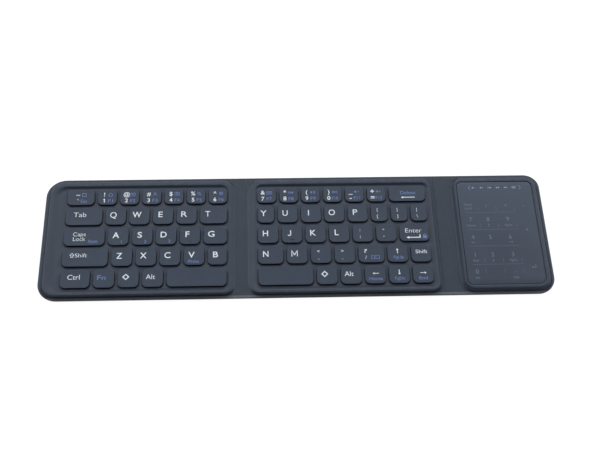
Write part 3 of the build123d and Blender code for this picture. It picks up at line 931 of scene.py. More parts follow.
def pad_rim(name, node, profiles, spine_sides):
    """The touch panel's rim: its closed section carried once round the panel's foot.

    The section turns from the free one into the spine one where the foot faces a spine, by a smooth step. It
    is wider at the back and narrower along the spine.
    """
    _, _, centre, size = box_of(node)
    (_, front_corner), (_, back_corner) = PAD_CORNERS
    radii = (front_corner, back_corner, FOOT_CORNER, FOOT_CORNER)
    points, normals = rounded_outline(centre[:2], size[:2], radii, corner_steps=24, side_steps=6)
    share = sum(smooth_step(side * normals[:, 0], 0.1, 0.95) for side in spine_sides)
    free, spine = profiles
    section = free[:, None] + (spine - free)[:, None] * share[None, :, None]
    back = np.maximum(normals[:, 1:], 0) ** 2
    spine_side = facing(normals, (-1,))[:, None]
    wider = 1 + (PAD_BACK_EXTRA * back - PAD_SPINE_LESS * spine_side) / PAD_WIDTH
    flat = points[None] - section[..., :1] * (wider * normals)[None]
    grid = np.concatenate((flat, section[..., 1:]), axis=2)
    closed = np.concatenate((grid, grid[:1]))
    return make_piece(
        name, closed.reshape(-1, 3), grid_faces(*closed.shape[:2], around=True), [FINISHES["coat"]],
        smooth=math.radians(50),
    )


def cut_slot(piece, node, margin):
    """Take a straight slot of a node's width and height out of a piece, open to the outside."""
    low, high, _, _ = box_of(node)
    ends = low[0], CAD_BOX[1][0]
    sides = low[1] - margin, high[1] + margin
    levels = low[2] - margin, high[2] + margin
    corners = np.array([(x, y, z) for x in ends for y in sides for z in levels])
    faces = [(0, 1, 3, 2), (4, 6, 7, 5), (0, 4, 5, 1), (2, 3, 7, 6), (0, 2, 6, 4), (1, 5, 7, 3)]
    cutter = make_piece(piece.name + "_cutter", corners, faces, [])
    slot = piece.modifiers.new("slot", "BOOLEAN")
    slot.operation = "DIFFERENCE"
    slot.solver = "EXACT"
    slot.object = cutter
    apply_modifiers(piece)
    bpy.data.objects.remove(cutter)


def apply_modifiers(piece):
    """Replace a piece's mesh by its shape with all modifiers on."""
    graph = bpy.context.evaluated_depsgraph_get()
    mesh = bpy.data.meshes.new_from_object(piece.evaluated_get(graph))
    piece.modifiers.clear()
    piece.data = mesh


def flat_plate(name, outlines, low, high, edge, material):
    """A plate cut to its outlines, the first outside and the others holes, with a round edge on each.

    It is a filled flat curve with straight runs between the outline points, raised and bevelled, as a mesh.
    """
    curve = bpy.data.curves.new(name, "CURVE")
    curve.dimensions = "2D"
    curve.fill_mode = "BOTH"
    curve.extrude = (high - low) / 2 - edge
    curve.bevel_depth = edge
    curve.bevel_resolution = 2
    curve.offset = -edge
    for outline in outlines:
        spline = curve.splines.new("POLY")
        spline.points.add(len(outline) - 1)
        four = np.concatenate((outline, np.zeros((len(outline), 1)), np.ones((len(outline), 1))), axis=1)
        spline.points.foreach_set("co", four.ravel())
        spline.use_cyclic_u = True
    holder = bpy.data.objects.new(name + "_curve", curve)
    bpy.context.scene.collection.objects.link(holder)
    graph = bpy.context.evaluated_depsgraph_get()
    mesh = bpy.data.meshes.new_from_object(holder.evaluated_get(graph))
    mesh.transform(Matrix.Translation((0, 0, (low + high) / 2)))
    bpy.data.objects.remove(holder)
    bpy.data.curves.remove(curve)
    mesh.name = name
    mesh.materials.clear()
    mesh.materials.append(material)
    return finish_mesh(bpy.data.objects.new(name, mesh), math.radians(50))


# ------------------------------------------------------------------ keys

# Keys of each node that holds several, from the back row to the front and from left to right.
KEY_GROUPS = {
    "number_keys_left": ["grave", "1", "2", "3", "4", "5", "6"],
    "number_keys_centre": ["7", "8", "9", "0", "minus", "equals", "delete"],
    "side_keys_left": ["tab", "caps_lock", "shift_left", "ctrl", "fn", "system", "alt"],
    "side_keys_centre": ["up", "shift_right", "system", "alt", "left", "down", "right"],
    "punctuation_keys": [
        "bracket_left", "bracket_right", "backslash", "semicolon", "quote", "comma", "period", "slash",
    ],
}
KEY_NODES = sorted(node for node in frame["nodes"] if node.startswith("key_")) + list(KEY_GROUPS)
CAP_LOW, CAP_TOP = (corner.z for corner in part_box("key_q"))
HOME_KEYS = ("key_f", "key_j")
CAP_FOOT = 0.12 * MM  # chamfer round a keycap's foot
HOME_BAR = (3.2, 0.55, 0.2)  # length, width and height, in millimetres
HOME_BAR_FROM_FRONT = 2.6


def body_of(node):
    """The body that a node belongs to."""
    return frame["nodes"][node]["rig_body"]


def key_boxes(node):
    """(name, centre, size) of each keycap of a node."""
    names = KEY_GROUPS.get(node, [node.removeprefix("key_")])
    boxes = islands(node) if node in KEY_GROUPS else [tuple(map(np.array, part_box(node)))]
    return [(name, (low + high)[:2] / 2, (high - low)[:2]) for name, (low, high) in zip(names, boxes)]


def dish(points, centre, size):
    """How far a keycap's top lies below its edge: one minus the fourth power of X, times the same of Y."""
    across = (points - centre) / (size / 2)
    hollow = np.clip(1 - across[..., 0] ** 4, 0, 1) * np.clip(1 - across[..., 1] ** 4, 0, 1)
    return sizes().cap_dish * hollow


def cap_surface(centre, size):
    """One keycap: a drafted wall, a round edge, and a dished top whose rings shrink to the middle line.

    Its floor shrinks to the same line. The dish begins over the first third of the way in.
    """
    edge, lean = sizes().cap_edge, sizes().cap_draft
    points, normals = rounded_outline(centre, size, sizes().cap_corner, corner_steps=9, side_steps=3)
    profile = np.concatenate((
        [(CAP_FOOT, CAP_LOW), (0.0, CAP_LOW + CAP_FOOT)],
        arc((lean + edge, CAP_TOP - edge), (edge, edge), 180, 90, 7),
    ))
    wall = carry(profile, points, normals)
    rim_ring = wall[-1, :, :2]
    half = np.maximum(size / 2 - size.min() / 2, 0)
    middle = centre + np.clip(rim_ring - centre, -half, half)
    share = np.linspace(0, 1, 8)[1:, None, None]
    rings = rim_ring + (middle - rim_ring) * share
    height = CAP_TOP - dish(rings, centre, size) * np.clip(share[..., 0] * 3, 0, 1)
    top = np.concatenate((rings, height[..., None]), axis=2)
    floor = np.concatenate((middle, np.full((len(middle), 1), CAP_LOW)), axis=1)
    return np.concatenate((floor[None], wall, top))


def home_bar(centre, size):
    """Low bar with a round back, across a home key's front: a half ellipse along X whose ends taper."""
    length, width, height = (value * MM for value in HOME_BAR)
    s = np.linspace(-1, 1, 25)[:, None]
    angle = np.linspace(0, 2 * math.pi, 17)[None, :-1]
    taper = np.sqrt(np.clip(1 - s ** 8, 0, 1))
    x = centre[0] + s * length / 2 + 0 * angle
    y = centre[1] - size[1] / 2 + HOME_BAR_FROM_FRONT * MM + width / 2 * taper * np.cos(angle)
    z = CAP_TOP - sizes().cap_dish + (height + sizes().cap_dish) * taper * np.sin(angle)
    return np.stack((x, y, np.maximum(z, CAP_TOP - 0.3 * MM)), axis=-1)


def join_grids(grids):
    """Points and faces of several closed rings of rows, as one list each."""
    points, faces, count = [], [], 0
    for grid in grids:
        points.append(grid.reshape(-1, 3))
        faces.extend((grid_faces(*grid.shape[:2], around=True) + count).tolist())
        count += grid.shape[0] * grid.shape[1]
    return np.concatenate(points), faces


# ------------------------------------------------------------------ printed marks
# A mark is text or a drawn icon. Places are millimetres from the cap's centre, right and back. Icons are
# drawn in a box one unit high.

ICON_LINE = 0.1  # width of a drawn line, as a share of the icon's height


def circle(radius, steps=16, start=0.0, end=360.0, centre=(0.0, 0.0)):
    """Points on a circle's arc between two angles in degrees."""
    return arc(centre, (radius, radius), start, end, steps)


def line(*points, closed=False, width=ICON_LINE):
    """Strip round a line: each point is moved both ways along its mitre by half the width."""
    path = np.array(points, float).reshape(-1, 2)
    if closed and np.allclose(path[0], path[-1]):
        path = path[:-1]
    along = np.roll(path, -1, axis=0) - path
    if not closed:
        along[-1] = along[-2]
    along /= np.linalg.norm(along, axis=1)[:, None]
    before = np.roll(along, 1, axis=0)
    if not closed:
        before[0] = along[0]
    normal = np.stack((-along[:, 1], along[:, 0]), axis=1)
    earlier = np.stack((-before[:, 1], before[:, 0]), axis=1)
    mitre = normal + earlier
    mitre /= np.linalg.norm(mitre, axis=1)[:, None]
    reach = np.minimum(1 / np.abs((mitre * normal).sum(axis=1)), 2.0)[:, None]
    offset = mitre * reach * width / 2
    strip = np.concatenate((path + offset, path - offset))
    n = len(path)
    faces = [(i, (i + 1) % n, (i + 1) % n + n, i + n) for i in range(n if closed else n - 1)]
    return strip, faces


def area(*points):
    """One filled polygon."""
    outline = np.array(points, float).reshape(-1, 2)
    return outline, [tuple(range(len(outline)))]


def box_line(across, high, width=ICON_LINE):
    """Line round a rectangle."""
    x, y = across / 2, high / 2
    return line((-x, -y), (x, -y), (x, y), (-x, y), closed=True, width=width)


def shifted(shape, x, y):
    """A shape moved right and up."""
    points, faces = shape
    return points + np.array((x, y)), faces


def arrow(angle, length=1.0, head=0.26, width=ICON_LINE):
    """Arrow that points along an angle in degrees: a shaft and a filled head."""
    c, s = math.cos(math.radians(angle)), math.sin(math.radians(angle))
    turn = np.array(((c, s), (-s, c)))
    shaft = line((-length / 2, 0), (length / 2 - head * 0.9, 0), width=width)
    tip = area((length / 2 - head, -head * 0.8), (length / 2, 0), (length / 2 - head, head * 0.8))
    return [(points @ turn, faces) for points, faces in (shaft, tip)]


def icons():
    """Every drawn mark in a box one unit high."""
    cog = [line(c * 0.3, c * 0.46, width=0.16) for c in circle(1.0, 8)[:-1]]
    speaker = area((-0.55, -0.15), (-0.35, -0.15), (-0.08, -0.4), (-0.08, 0.4), (-0.35, 0.15), (-0.55, 0.15))
    forward = [area((x, -0.32), (x + 0.38, 0), (x, 0.32)) for x in (-0.52, -0.1)]
    back = [area((x, -0.32), (x, 0.32), (x - 0.38, 0)) for x in (0.52, 0.1)]
    keys = [shifted(box_line(0.08, 0.08, width=0.08), x, 0.12) for x in (-0.35, -0.12, 0.12, 0.35)]
    minus = line((0.12, 0), (0.52, 0), width=0.13)
    return {
        "j": [line((0.22, 0.5), *circle(0.24, 9, 0, -165, (-0.02, -0.22)), width=0.16)],
        "m": [line((-0.46, -0.5), (-0.46, 0.5), (0.0, -0.22), (0.46, 0.5), (0.46, -0.5), width=0.155)],
        "one": [line((-0.2, 0.24), (0.05, 0.42), (0.05, -0.5), width=0.19)],
        "square": [box_line(0.8, 0.8, width=0.13)],
        "house": [
            line((-0.5, 0.0), (0.0, 0.48), (0.5, 0.0)),
            line((-0.34, 0.05), (-0.34, -0.45), (0.34, -0.45), (0.34, 0.05)),
        ],
        "envelope": [box_line(1.0, 0.72), line((-0.46, 0.3), (0, -0.05), (0.46, 0.3))],
        "person": [
            line(*circle(0.17, 14, centre=(0, 0.25)), closed=True),
            line(*circle(0.38, 12, 0, 180, (0, -0.42))),
        ],
        "camera": [
            box_line(1.0, 0.66), line(*circle(0.17, 14), closed=True),
            line((-0.2, 0.36), (-0.12, 0.46), (0.12, 0.46), (0.2, 0.36)),
        ],
        "magnifier": [
            line(*circle(0.28, 16, centre=(-0.1, 0.12)), closed=True),
            line((0.1, -0.1), (0.4, -0.42), width=0.14),
        ],
        "cog": [line(*circle(0.27, 18), closed=True, width=0.14), *cog],
        "keyboard": [box_line(1.2, 0.7), *keys, line((-0.3, -0.14), (0.3, -0.14), width=0.09)],
        "back": [line((-0.5, -0.34), (-0.5, 0.34), width=0.12), *back],
        "play_pause": [
            area((-0.5, -0.34), (-0.02, 0), (-0.5, 0.34)), line((0.2, -0.34), (0.2, 0.34), width=0.13),
            line((0.46, -0.34), (0.46, 0.34), width=0.13),
        ],
        "forward": [line((0.5, -0.34), (0.5, 0.34), width=0.12), *forward],
        "quieter": [speaker, minus],
        "louder": [speaker, minus, line((0.32, -0.2), (0.32, 0.2), width=0.13)],
        "screen": [box_line(1.9, 0.8, width=0.13), area((-0.28, -0.2), (0.3, 0), (-0.28, 0.2))],
        "lock": [
            area((-0.36, -0.48), (0.36, -0.48), (0.36, 0.08), (-0.36, 0.08)),
            line((-0.24, 0.08), *circle(0.24, 10, 180, 0, (0, 0.2)), (0.24, 0.08), width=0.12),
        ],
        "diamond": [line((0, -0.46), (0.46, 0), (0, 0.46), (-0.46, 0), closed=True, width=0.17)],
        "shift": [line(
            (0, 0.48), (0.42, 0.04), (0.2, 0.04), (0.2, -0.44), (-0.2, -0.44), (-0.2, 0.04), (-0.42, 0.04),
            closed=True, width=0.11,
        )],
        "arrow_up": arrow(90, 1.15, 0.36, 0.16),
        "arrow_down": arrow(-90, 1.15, 0.36, 0.16),
        "arrow_left": arrow(180, 1.8, 0.5, 0.2),
        "arrow_right": arrow(0, 1.8, 0.5, 0.2),
        "long_arrow": arrow(180, 4.7, 0.6, 0.28),
        "enter_arrow": [
            line((2.05, 1.05), (2.05, 0.0), (-1.4, 0.0), width=0.3),
            area((-1.3, -0.45), (-1.3, 0.45), (-2.2, 0.0)),
        ],
        "small_enter": [
            line((0.4, 0.5), (0.4, -0.15), (-0.2, -0.15), width=0.12),
            area((-0.15, -0.4), (-0.15, 0.1), (-0.5, -0.15)),
        ],
    }


ICONS = icons()
TEXT_SHAPES = {}  # points and triangles of every text and weight in use


def text_shape(text, weight):
    """Flat outline of a text, one unit high at its capitals, centred on the capitals and on its own width."""
    for key in (("H", 0.0), (text, weight)):
        if key not in TEXT_SHAPES:
            TEXT_SHAPES[key] = raw_text(*key)
    points, faces = TEXT_SHAPES[text, weight]
    scaled = points / np.ptp(TEXT_SHAPES["H", 0.0][0][:, 1])
    middle = (scaled[:, 0].min() + scaled[:, 0].max()) / 2
    return scaled - np.array((middle, 0.5)), faces


def raw_text(text, weight):
    """Points and triangles of a text in the built-in typeface, its strokes made heavier by the weight."""
    curve = bpy.data.curves.new("print", "FONT")
    curve.body = text
    curve.resolution_u = 5
    curve.offset = weight
    curve.fill_mode = "FRONT"
    holder = bpy.data.objects.new("print", curve)
    bpy.context.scene.collection.objects.link(holder)
    graph = bpy.context.evaluated_depsgraph_get()
    mesh = bpy.data.meshes.new_from_object(holder.evaluated_get(graph))
    bpy.data.objects.remove(holder)
    bpy.data.curves.remove(curve)
    points = np.empty(len(mesh.vertices) * 3)
    mesh.vertices.foreach_get("co", points)
    faces = [tuple(polygon.vertices) for polygon in mesh.polygons]
    bpy.data.meshes.remove(mesh)
    return points.reshape(-1, 3)[:, :2], faces


def mark(kind, x, y, height, colour="white", width=None, weight=0.0):
    """One printed mark: text, or an icon if its name starts with a colon. Sizes are in millimetres."""
    if kind[1:] in ICONS and kind[0] == ":":
        parts = ICONS[kind[1:]]
    else:
        parts = [text_shape(kind, weight)]
    if width is not None:
        every = np.concatenate([points for points, _ in parts])
        stretch = width / height / np.ptp(every[:, 0])
        parts = [(points * np.array((stretch, 1.0)), faces) for points, faces in parts]
    return [(points * height * MM + np.array((x, y)) * MM, faces, colour) for points, faces in parts]


LETTER_HEIGHT = 4.45
LETTER_INSET = 5.4  # cap's left edge to the middle of its letter
LETTER_STRETCH = {
    "b": 1.1, "e": 1.15, "f": 1.12, "g": 1.08, "h": 0.95, "j": 1.25, "n": 0.88, "o": 0.93, "p": 1.14,
    "q": 0.95, "r": 1.2, "s": 1.15, "t": 0.92, "u": 0.95, "v": 1.08, "w": 0.89, "x": 0.92, "y": 1.07,
    "z": 0.92,
}  # width of the object's letters over the width of the built-in ones
DRAWN_LETTERS = {"m": 1.0, "j": 0.44}  # letters drawn as icons, with their width over their height
# Second marks under a letter, and all marks of the word keys: kind, place to the right and to the back,
# height, colour, width and weight.
LETTER_LABELS = {
    "v": ("Print", -0.1, -4.25, 2.4, "blue", 7.4, 0.012), "a": ("1", 2.3, -4.45, 2.3, "blue", None, 0.012),
    "s": ("2", 2.3, -4.45, 2.3, "blue", None, 0.012), "d": ("3", 2.3, -4.45, 2.3, "blue", None, 0.012),
}
WORD_KEYS = {
    "tab": [("Tab", -2.9, 1.5, 3.7, "white", 8.8, -0.008)],
    "caps_lock": [
        ("Caps", -3.45, 2.05, 3.1, "white", 8.7, -0.008), ("Lock", -3.45, -1.75, 3.1, "white", 8.5, -0.008),
        ("Num", 6.1, -3.7, 2.5, "blue", 6.2, 0.012),
    ],
    "shift_left": [(":shift", -9.0, 1.75, 3.4), ("Shift", -2.8, 1.75, 3.1, "white", 8.3, -0.008)],
    "ctrl": [("Ctrl", -0.95, 1.25, 3.6, "white", 8.4)],
    "fn": [("Fn", -1.6, 0.75, 3.5, "blue", 5.8, 0.008)],
    "system": [(":diamond", -1.7, 0.9, 4.3)],
    "alt": [("Alt", -1.5, 0.8, 3.6, "white", 6.3)],
    "shift_right": [("Shift", 0.25, 1.0, 2.8, "white", 8.2)],
    "up": [(":arrow_up", -0.1, 1.8, 3.4), ("PgUp", 0.5, -3.2, 2.2, "blue", 7.0, 0.008)],
    "left": [(":arrow_left", 0.3, 0.8, 2.4), ("Home", 0.2, -3.2, 2.4, "blue", 9.2, 0.01)],
    "down": [(":arrow_down", 0.1, 1.5, 3.4), ("PgDn", 0.3, -3.2, 2.2, "blue", 6.8, 0.008)],
    "right": [(":arrow_right", 0.2, 0.8, 2.4), ("End", 0.0, -3.2, 2.4, "blue", 6.0, 0.01)],
    "enter": [
        ("Enter", -0.5, 1.55, 3.4, "white", 11.6, -0.008), (":enter_arrow", -0.9, -4.1, 2.3),
        (":lock", 7.2, -3.0, 3.8, "blue"),
    ],
    "delete": [("Delete", 0.75, 0.8, 2.8, "blue", 11.0), (":long_arrow", 0.6, -3.1, 2.1)],
}
# Keys of the number row: upper and lower white character, blue icon and blue label.
NUMBER_KEYS = {
    "grave": ("~", "`", ":square", "Esc"), "1": ("!", ":one", ":house", "F1"),
    "2": ("@", "2", ":envelope", "F2"), "3": ("#", "3", ":person", "F3"), "4": ("$", "4", ":camera", "F4"),
    "5": ("%", "5", ":magnifier", "F5"), "6": ("^", "6", ":cog", "F6"), "7": ("&", "7", ":keyboard", "F7"),
    "8": ("*", "8", ":back", "F8"), "9": ("(", "9", ":play_pause", "F9"), "0": (")", "0", ":forward", "F10"),
    "minus": ("_", "-", ":quieter", "F11"), "equals": ("+", "=", ":louder", "F12"),
}
# Keys with two marks in a column: both characters, their place to the right, both places to the back, height.
PAIR_KEYS = {
    "bracket_left": ("{", "[", -1.3, 2.5, -2.85, 2.3), "bracket_right": ("}", "]", -1.2, 2.5, -2.85, 2.3),
    "backslash": ("|", "\\", -1.3, 2.5, -3.0, 2.6), "semicolon": (":", ";", -1.8, 2.7, -2.4, 2.6),
    "quote": ('"', "'", -1.8, 1.7, -3.9, 2.6), "comma": ("<", ",", -1.7, 2.3, -2.7, 2.7),
    "period": (">", ".", -1.65, 2.3, -3.0, 2.7), "slash": ("?", "/", -3.85, 2.05, -3.05, 2.8),
}
QUESTION_WIDTH = 2.1
NUMBER_SHIFT = -0.55  # the centre panel's number row is printed this far to the left of the left panel's


def letter_marks(name, size):
    """A capital, the same way in from the cap's left edge on every key but the narrow Y."""
    weight = 0.004 if name in "qertyuiop" else 0.012
    cap_width = size[0] / MM
    inset = 0.35 * cap_width + 0.1 if name == "y" else LETTER_INSET
    kind = f":{name}" if name in DRAWN_LETTERS else name.upper()
    natural = DRAWN_LETTERS.get(name) or np.ptp(text_shape(kind, weight)[0][:, 0])
    width = natural * LETTER_HEIGHT * LETTER_STRETCH.get(name, 1.0)
    back = 0.95 if name in "qwertasdfgzxcvb" else 0.75
    marks = mark(kind, inset - cap_width / 2, back, LETTER_HEIGHT, width=width, weight=weight)
    return marks + (mark(*LETTER_LABELS[name]) if name in LETTER_LABELS else [])


def number_marks(name):
    """Marks of a key in the number row: two white characters in a column, an icon and a blue label."""
    upper, lower, icon, blue = NUMBER_KEYS[name]
    shift = 0.0 if name in KEY_GROUPS["number_keys_left"] else NUMBER_SHIFT
    height, weight = (3.7, 0.02) if upper in "_+" else (3.15, 0.014)
    return (
        mark(upper, shift - 2.15, 2.3, height, weight=weight)
        + mark(lower, shift - 2.15, -2.9, height, weight=weight)
        + mark(icon, shift + 2.2, 2.1, 3.2, "blue")
        + mark(blue, shift + 2.3, -3.1, 2.6, "blue", 4.4 if len(blue) > 2 else 3.6)
    )


def pair_marks(name):
    """Marks of a punctuation key: two characters in a column, and a screen beside the slash."""
    upper, lower, x, high, low, height = PAIR_KEYS[name]
    marks = mark(upper, x, high, height, width=QUESTION_WIDTH if upper == "?" else None)
    marks += mark(lower, x, low, height)
    return marks + (mark(":screen", 2.8, -3.0, 3.0, "blue", 6.0) if name == "slash" else [])


def key_marks(name, size):
    """All marks of one key, by its name."""
    if name in NUMBER_KEYS:
        return number_marks(name)
    if name in PAIR_KEYS:
        return pair_marks(name)
    if len(name) == 1:
        return letter_marks(name, size)
    return [part for entry in WORD_KEYS.get(name, ()) for part in mark(*entry)]


# The touch surface's print, in millimetres from the glass's centre: a row of icons between two brackets, and
# a number pad of labels (kind, place to the right and to the back, height) on a grid of fine lines.
TOUCH_ICONS = (":quieter", ":louder", ":back", ":play_pause", ":forward", ":keyboard")
TOUCH_ICONS_X, TOUCH_ICONS_Y = -15.3, 36.8  # the first icon's centre
TOUCH_ICONS_STEP, TOUCH_ICONS_HEIGHT = 5.9, 2.1
BRACKETS = (90, -17.2), (-90, 17.5)  # where each half circle starts, in degrees, and its centre's X
BRACKET_RADIUS, BRACKET_LINE = 1.5, 0.2
GRID_LINE = 0.16  # width of the grid's lines
GRID_LEFT, GRID_RIGHT = -23, 13
GRID_ROWS = 15.8, 1.6, -11.8, -26.5
GRID_COLUMNS = -14.0, -0.9, 12.4  # short upright strokes, at each of the starts in Y
GRID_STROKES, GRID_STROKE_LENGTH = (17.4, 3.2, -25.0, -33.5), 3.4
TOUCH_LABELS = (
    ("Num", -20.8, 22.7, 2.0), ("Lock", -20.8, 19.4, 2.0), ("/", -7.8, 21.2, 3.2), ("*", 6.4, 20.7, 3.2),
    ("-", 19.0, 21.6, 3.4), ("7", -20.2, 10.1, 3.2), ("Home", -20.2, 5.1, 1.8), ("8", -7.8, 10.1, 3.2),
    (":arrow_up", -7.8, 5.3, 2.2), ("9", 6.4, 10.1, 3.2), ("PgUp", 6.4, 5.1, 1.8), ("+", 19.1, 1.2, 3.4),
    ("4", -20.2, -4.6, 3.2), (":arrow_left", -20.2, -8.8, 1.7), ("5", -7.8, -4.6, 3.2),
    ("6", 6.4, -4.6, 3.2), (":arrow_right", 6.4, -8.8, 1.7), ("1", -20.2, -18.8, 3.2),
    ("End", -20.2, -23.4, 1.8), ("2", -7.8, -18.8, 3.2), (":arrow_down", -7.8, -23.4, 2.2),
    ("3", 6.4, -18.8, 3.2), ("PgDn", 6.4, -23.4, 1.8), (":small_enter", 19.8, -28.8, 3.4),
    ("0", -20.2, -32.2, 3.2), ("Ins", -20.2, -37.0, 1.8), (".", 6.4, -31.4, 3.2), ("Del", 6.4, -37.0, 1.8),
)
INK_SUNK = 0.01 * MM  # how far the print's lower side lies in the cap
GLASS_INK_SUNK = 0.005 * MM


def drawn(path, width, colour):
    """A mark made of one line along a path, all in millimetres."""
    points, faces = line(*path, width=width)
    return points * MM, faces, colour


def raise_print(points, faces, low, high):
    """Closed thin layer over a flat shape: a top, the same shape turned over below it, and walls between."""
    faces = [face if turns_left(points[list(face)]) else face[::-1] for face in faces]
    edges = {(face[i - 1], face[i]) for face in faces for i in range(len(face))}
    border = [(a, b) for a, b in edges if (b, a) not in edges]
    n = len(points)
    solid = np.concatenate((np.column_stack((points, high)), np.column_stack((points, low))))
    walls = [(a, b, b + n, a + n)[::-1] for a, b in sorted(border)]
    return solid, list(faces) + [tuple(i + n for i in face)[::-1] for face in faces] + walls


def turns_left(corners):
    """True if a polygon's corners run anticlockwise, by the sign of its area."""
    following = np.roll(corners, -1, axis=0)
    return (corners[:, 0] * following[:, 1] - corners[:, 1] * following[:, 0]).sum() > 0


def print_piece(name, parts, materials):
    """One mesh of printed marks: each part is points, faces, low and high heights and a material number."""
    points, faces, tints, count = [], [], [], 0
    for flat, flat_faces, low, high, tint in parts:
        solid, solid_faces = raise_print(flat, flat_faces, low, high)
        points.append(solid)
        faces.extend(tuple(i + count for i in face) for face in solid_faces)
        tints.extend([tint] * len(solid_faces))
        count += len(solid)
    mesh = bpy.data.meshes.new(name)
    mesh.from_pydata(np.concatenate(points).tolist(), [], faces)
    for material in materials:
        mesh.materials.append(material)
    mesh.polygons.foreach_set("material_index", np.array(tints, np.int32))
    piece = bpy.data.objects.new(name, mesh)
    bpy.context.scene.collection.objects.link(piece)
    return piece


# ------------------------------------------------------------------ operators

FINISHES = {}


def place(piece, body, slot_name=None, *nodes):
    """Let a finished piece ride on a body and stand for its nodes, which are hidden; the slot name is not
    used.
    """
    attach(piece, body)
    if nodes:
        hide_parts(*nodes)


class KEYBOARD_OT_finishes(bpy.types.Operator):
    """Make the materials and give the carried-over inner pieces theirs"""

    bl_idname = "keyboard.finishes"
    bl_label = "Finishes"

    def execute(self, context):
        c = colours()
        FINISHES.update(
            cap=soft_coat("keycap", tuple(c.cap), wall=tuple(c.cap_wall_shade)),
            coat=soft_coat("soft_coat", tuple(c.coat), wear_from=RIM_TOP - 0.45 * MM),
            leather=leather(),
            white=ink("white_ink", tuple(c.white_ink)),
            blue=ink("blue_ink", tuple(c.blue_ink)),
            glass=glass_finish(),
            glass_ink=ink("glass_ink", tuple(c.glass_ink), 1.0),
            icon_ink=ink("icon_ink", tone(tuple(c.glass_ink), 2.4), 1.0),
        )
        inner = {
            "_tray": moulded_plastic(),
            "_support_plate": aluminium("support_aluminium", (0.62, 0.63, 0.64), 0.3, 0.32),
            "_switch_membrane": switch_film(),
            "_dome_sheet": silicone(),
            "_board": circuit_board(),
            "battery": battery_foil(),
            "_flex_cable": flex_film(),
            "charge_socket": plated_steel(),
        }
        for name, node in frame["nodes"].items():
            for ending, material in inner.items():
                if name.endswith(ending):
                    node.data.materials.clear()
                    node.data.materials.append(material)
        return {"FINISHED"}


class KEYBOARD_OT_covers(bpy.types.Operator):
    """Make the leather cover under each panel"""

    bl_idname = "keyboard.covers"
    bl_label = "Leather covers"

    def execute(self, context):
        depth = box_of("left_spine")[3][1]
        left = end_cover("left_cover_leather", "left_rim", depth, LEFT_RINGS[0][0] * MM, *LEFT_CORNERS)
        place(left, "left_panel", "cover_leather", "left_cover")
        pad = end_cover("pad_cover_leather", "pad_rim", depth, 0.0, *PAD_CORNERS)
        place(pad, "touch_panel", "cover_leather", "pad_cover")
        low, high, _, _ = box_of("centre_rim")
        pocket_end = UNDER_RIM, POCKET - 0.01 * MM, POCKET + 0.01 * MM
        near_end = np.concatenate((pocket_end, np.linspace(1.6, 9.4, 27) * MM))
        middle = np.linspace(low[0] + 14 * MM, high[0] - 14 * MM, 9)
        stations = np.concatenate((low[0] + near_end, middle, high[0] - near_end[::-1]))
        top = beside_rim("centre_rim")
        strip = leather_strip("centre_cover_leather", stations, depth, top, (low[1], high[1]))
        place(strip, "centre_panel", "cover_leather", "centre_cover")
        return {"FINISHED"}


class KEYBOARD_OT_spines(bpy.types.Operator):
    """Make the two folding spines, each as two halves, each half with its own crease"""

    bl_idname = "keyboard.spines"
    bl_label = "Folding spines"

    def execute(self, context):
        for side, *outer_end in (("left", "left_panel", "left_rim"), ("right", "touch_panel", "pad_rim")):
            low, high, centre, size = box_of(f"{side}_spine")
            flex_low, flex_high, _, _ = box_of(f"{side}_flex_cable")
            inner, outer = (high[0], low[0]) if side == "left" else (low[0], high[0])
            away = -1 if side == "left" else 1
            top = fold_relief((low[0], high[0]), (flex_low[1], flex_high[1]))
            for half, panel, rim_node, crease, outward in (
                ("inner", "centre_panel", "centre_rim", inner, -away), ("outer", *outer_end, outer, away),
            ):
                rim_low, rim_high, _, _ = box_of(rim_node)
                foot = rim_low[0] if outward > 0 else rim_high[0]
                beside = beside_rim(rim_node)
                end = foot + outward * UNDER_RIM
                fine = np.linspace(foot, crease - outward * CREASE_REACH, 25)
                rest = np.linspace(crease - outward * CREASE_REACH, centre[0], 5)[1:]
                stations = np.concatenate(([end], fine, rest))
                strip = leather_strip(
                    f"{side}_spine_leather_{half}", stations, size[1],
                    lambda x, y: top(x, y) + beside(x, y), (rim_low[1], rim_high[1]),
                )
                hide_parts(f"{side}_spine")
                bend_to = crease - outward * CREASE_REACH
                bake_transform(strip)
        return {"FINISHED"}


class KEYBOARD_OT_rims(bpy.types.Operator):
    """Make the raised rim of each panel"""

    bl_idname = "keyboard.rims"
    bl_label = "Rims"

    def execute(self, context):
        left = key_rim("left_rim_shell", "left_rim", LEFT_RINGS, (1,), LEFT_DROPS)
        place(left, "left_panel", "soft_coat", "left_rim")
        centre = key_rim("centre_rim_shell", "centre_rim", CENTRE_RINGS, (-1, 1), CENTRE_DROPS)
        place(centre, "centre_panel", "soft_coat", "centre_rim")
        pad = pad_rim("pad_rim_shell", "pad_rim", pad_rim_profiles(), (-1,))
        cut_slot(pad, "charge_socket", 0.02 * MM)
        place(pad, "touch_panel", "soft_coat", "pad_rim")
        return {"FINISHED"}


class KEYBOARD_OT_key_plates(bpy.types.Operator):
    """Make the deck between the keys of each keyboard panel"""

    bl_idname = "keyboard.key_plates"
    bl_label = "Key plates"

    def execute(self, context):
        gap = sizes().opening_gap
        corner = sizes().cap_corner
        for side, body in (("left", "left_panel"), ("centre", "centre_panel")):
            node = f"{side}_key_plate"
            _, _, centre, size = box_of(node)
            outlines = [rounded_outline(centre[:2], size[:2], FOOT_CORNER - RIM_WIDTH + RIM_LIP)[0]]
            for key_node in KEY_NODES:
                if parent_of(key_node) == body:
                    for _, cap_centre, cap_size in key_boxes(key_node):
                        outlines.append(rounded_outline(cap_centre, cap_size + 2 * gap, corner + gap, 8)[0])
            edge, coat = sizes().opening_edge, FINISHES["coat"]
            plate = flat_plate(f"{side}_deck", outlines, PLATE_BOTTOM, PLATE_TOP, edge, coat)
            place(plate, body, "soft_coat", node)
        return {"FINISHED"}


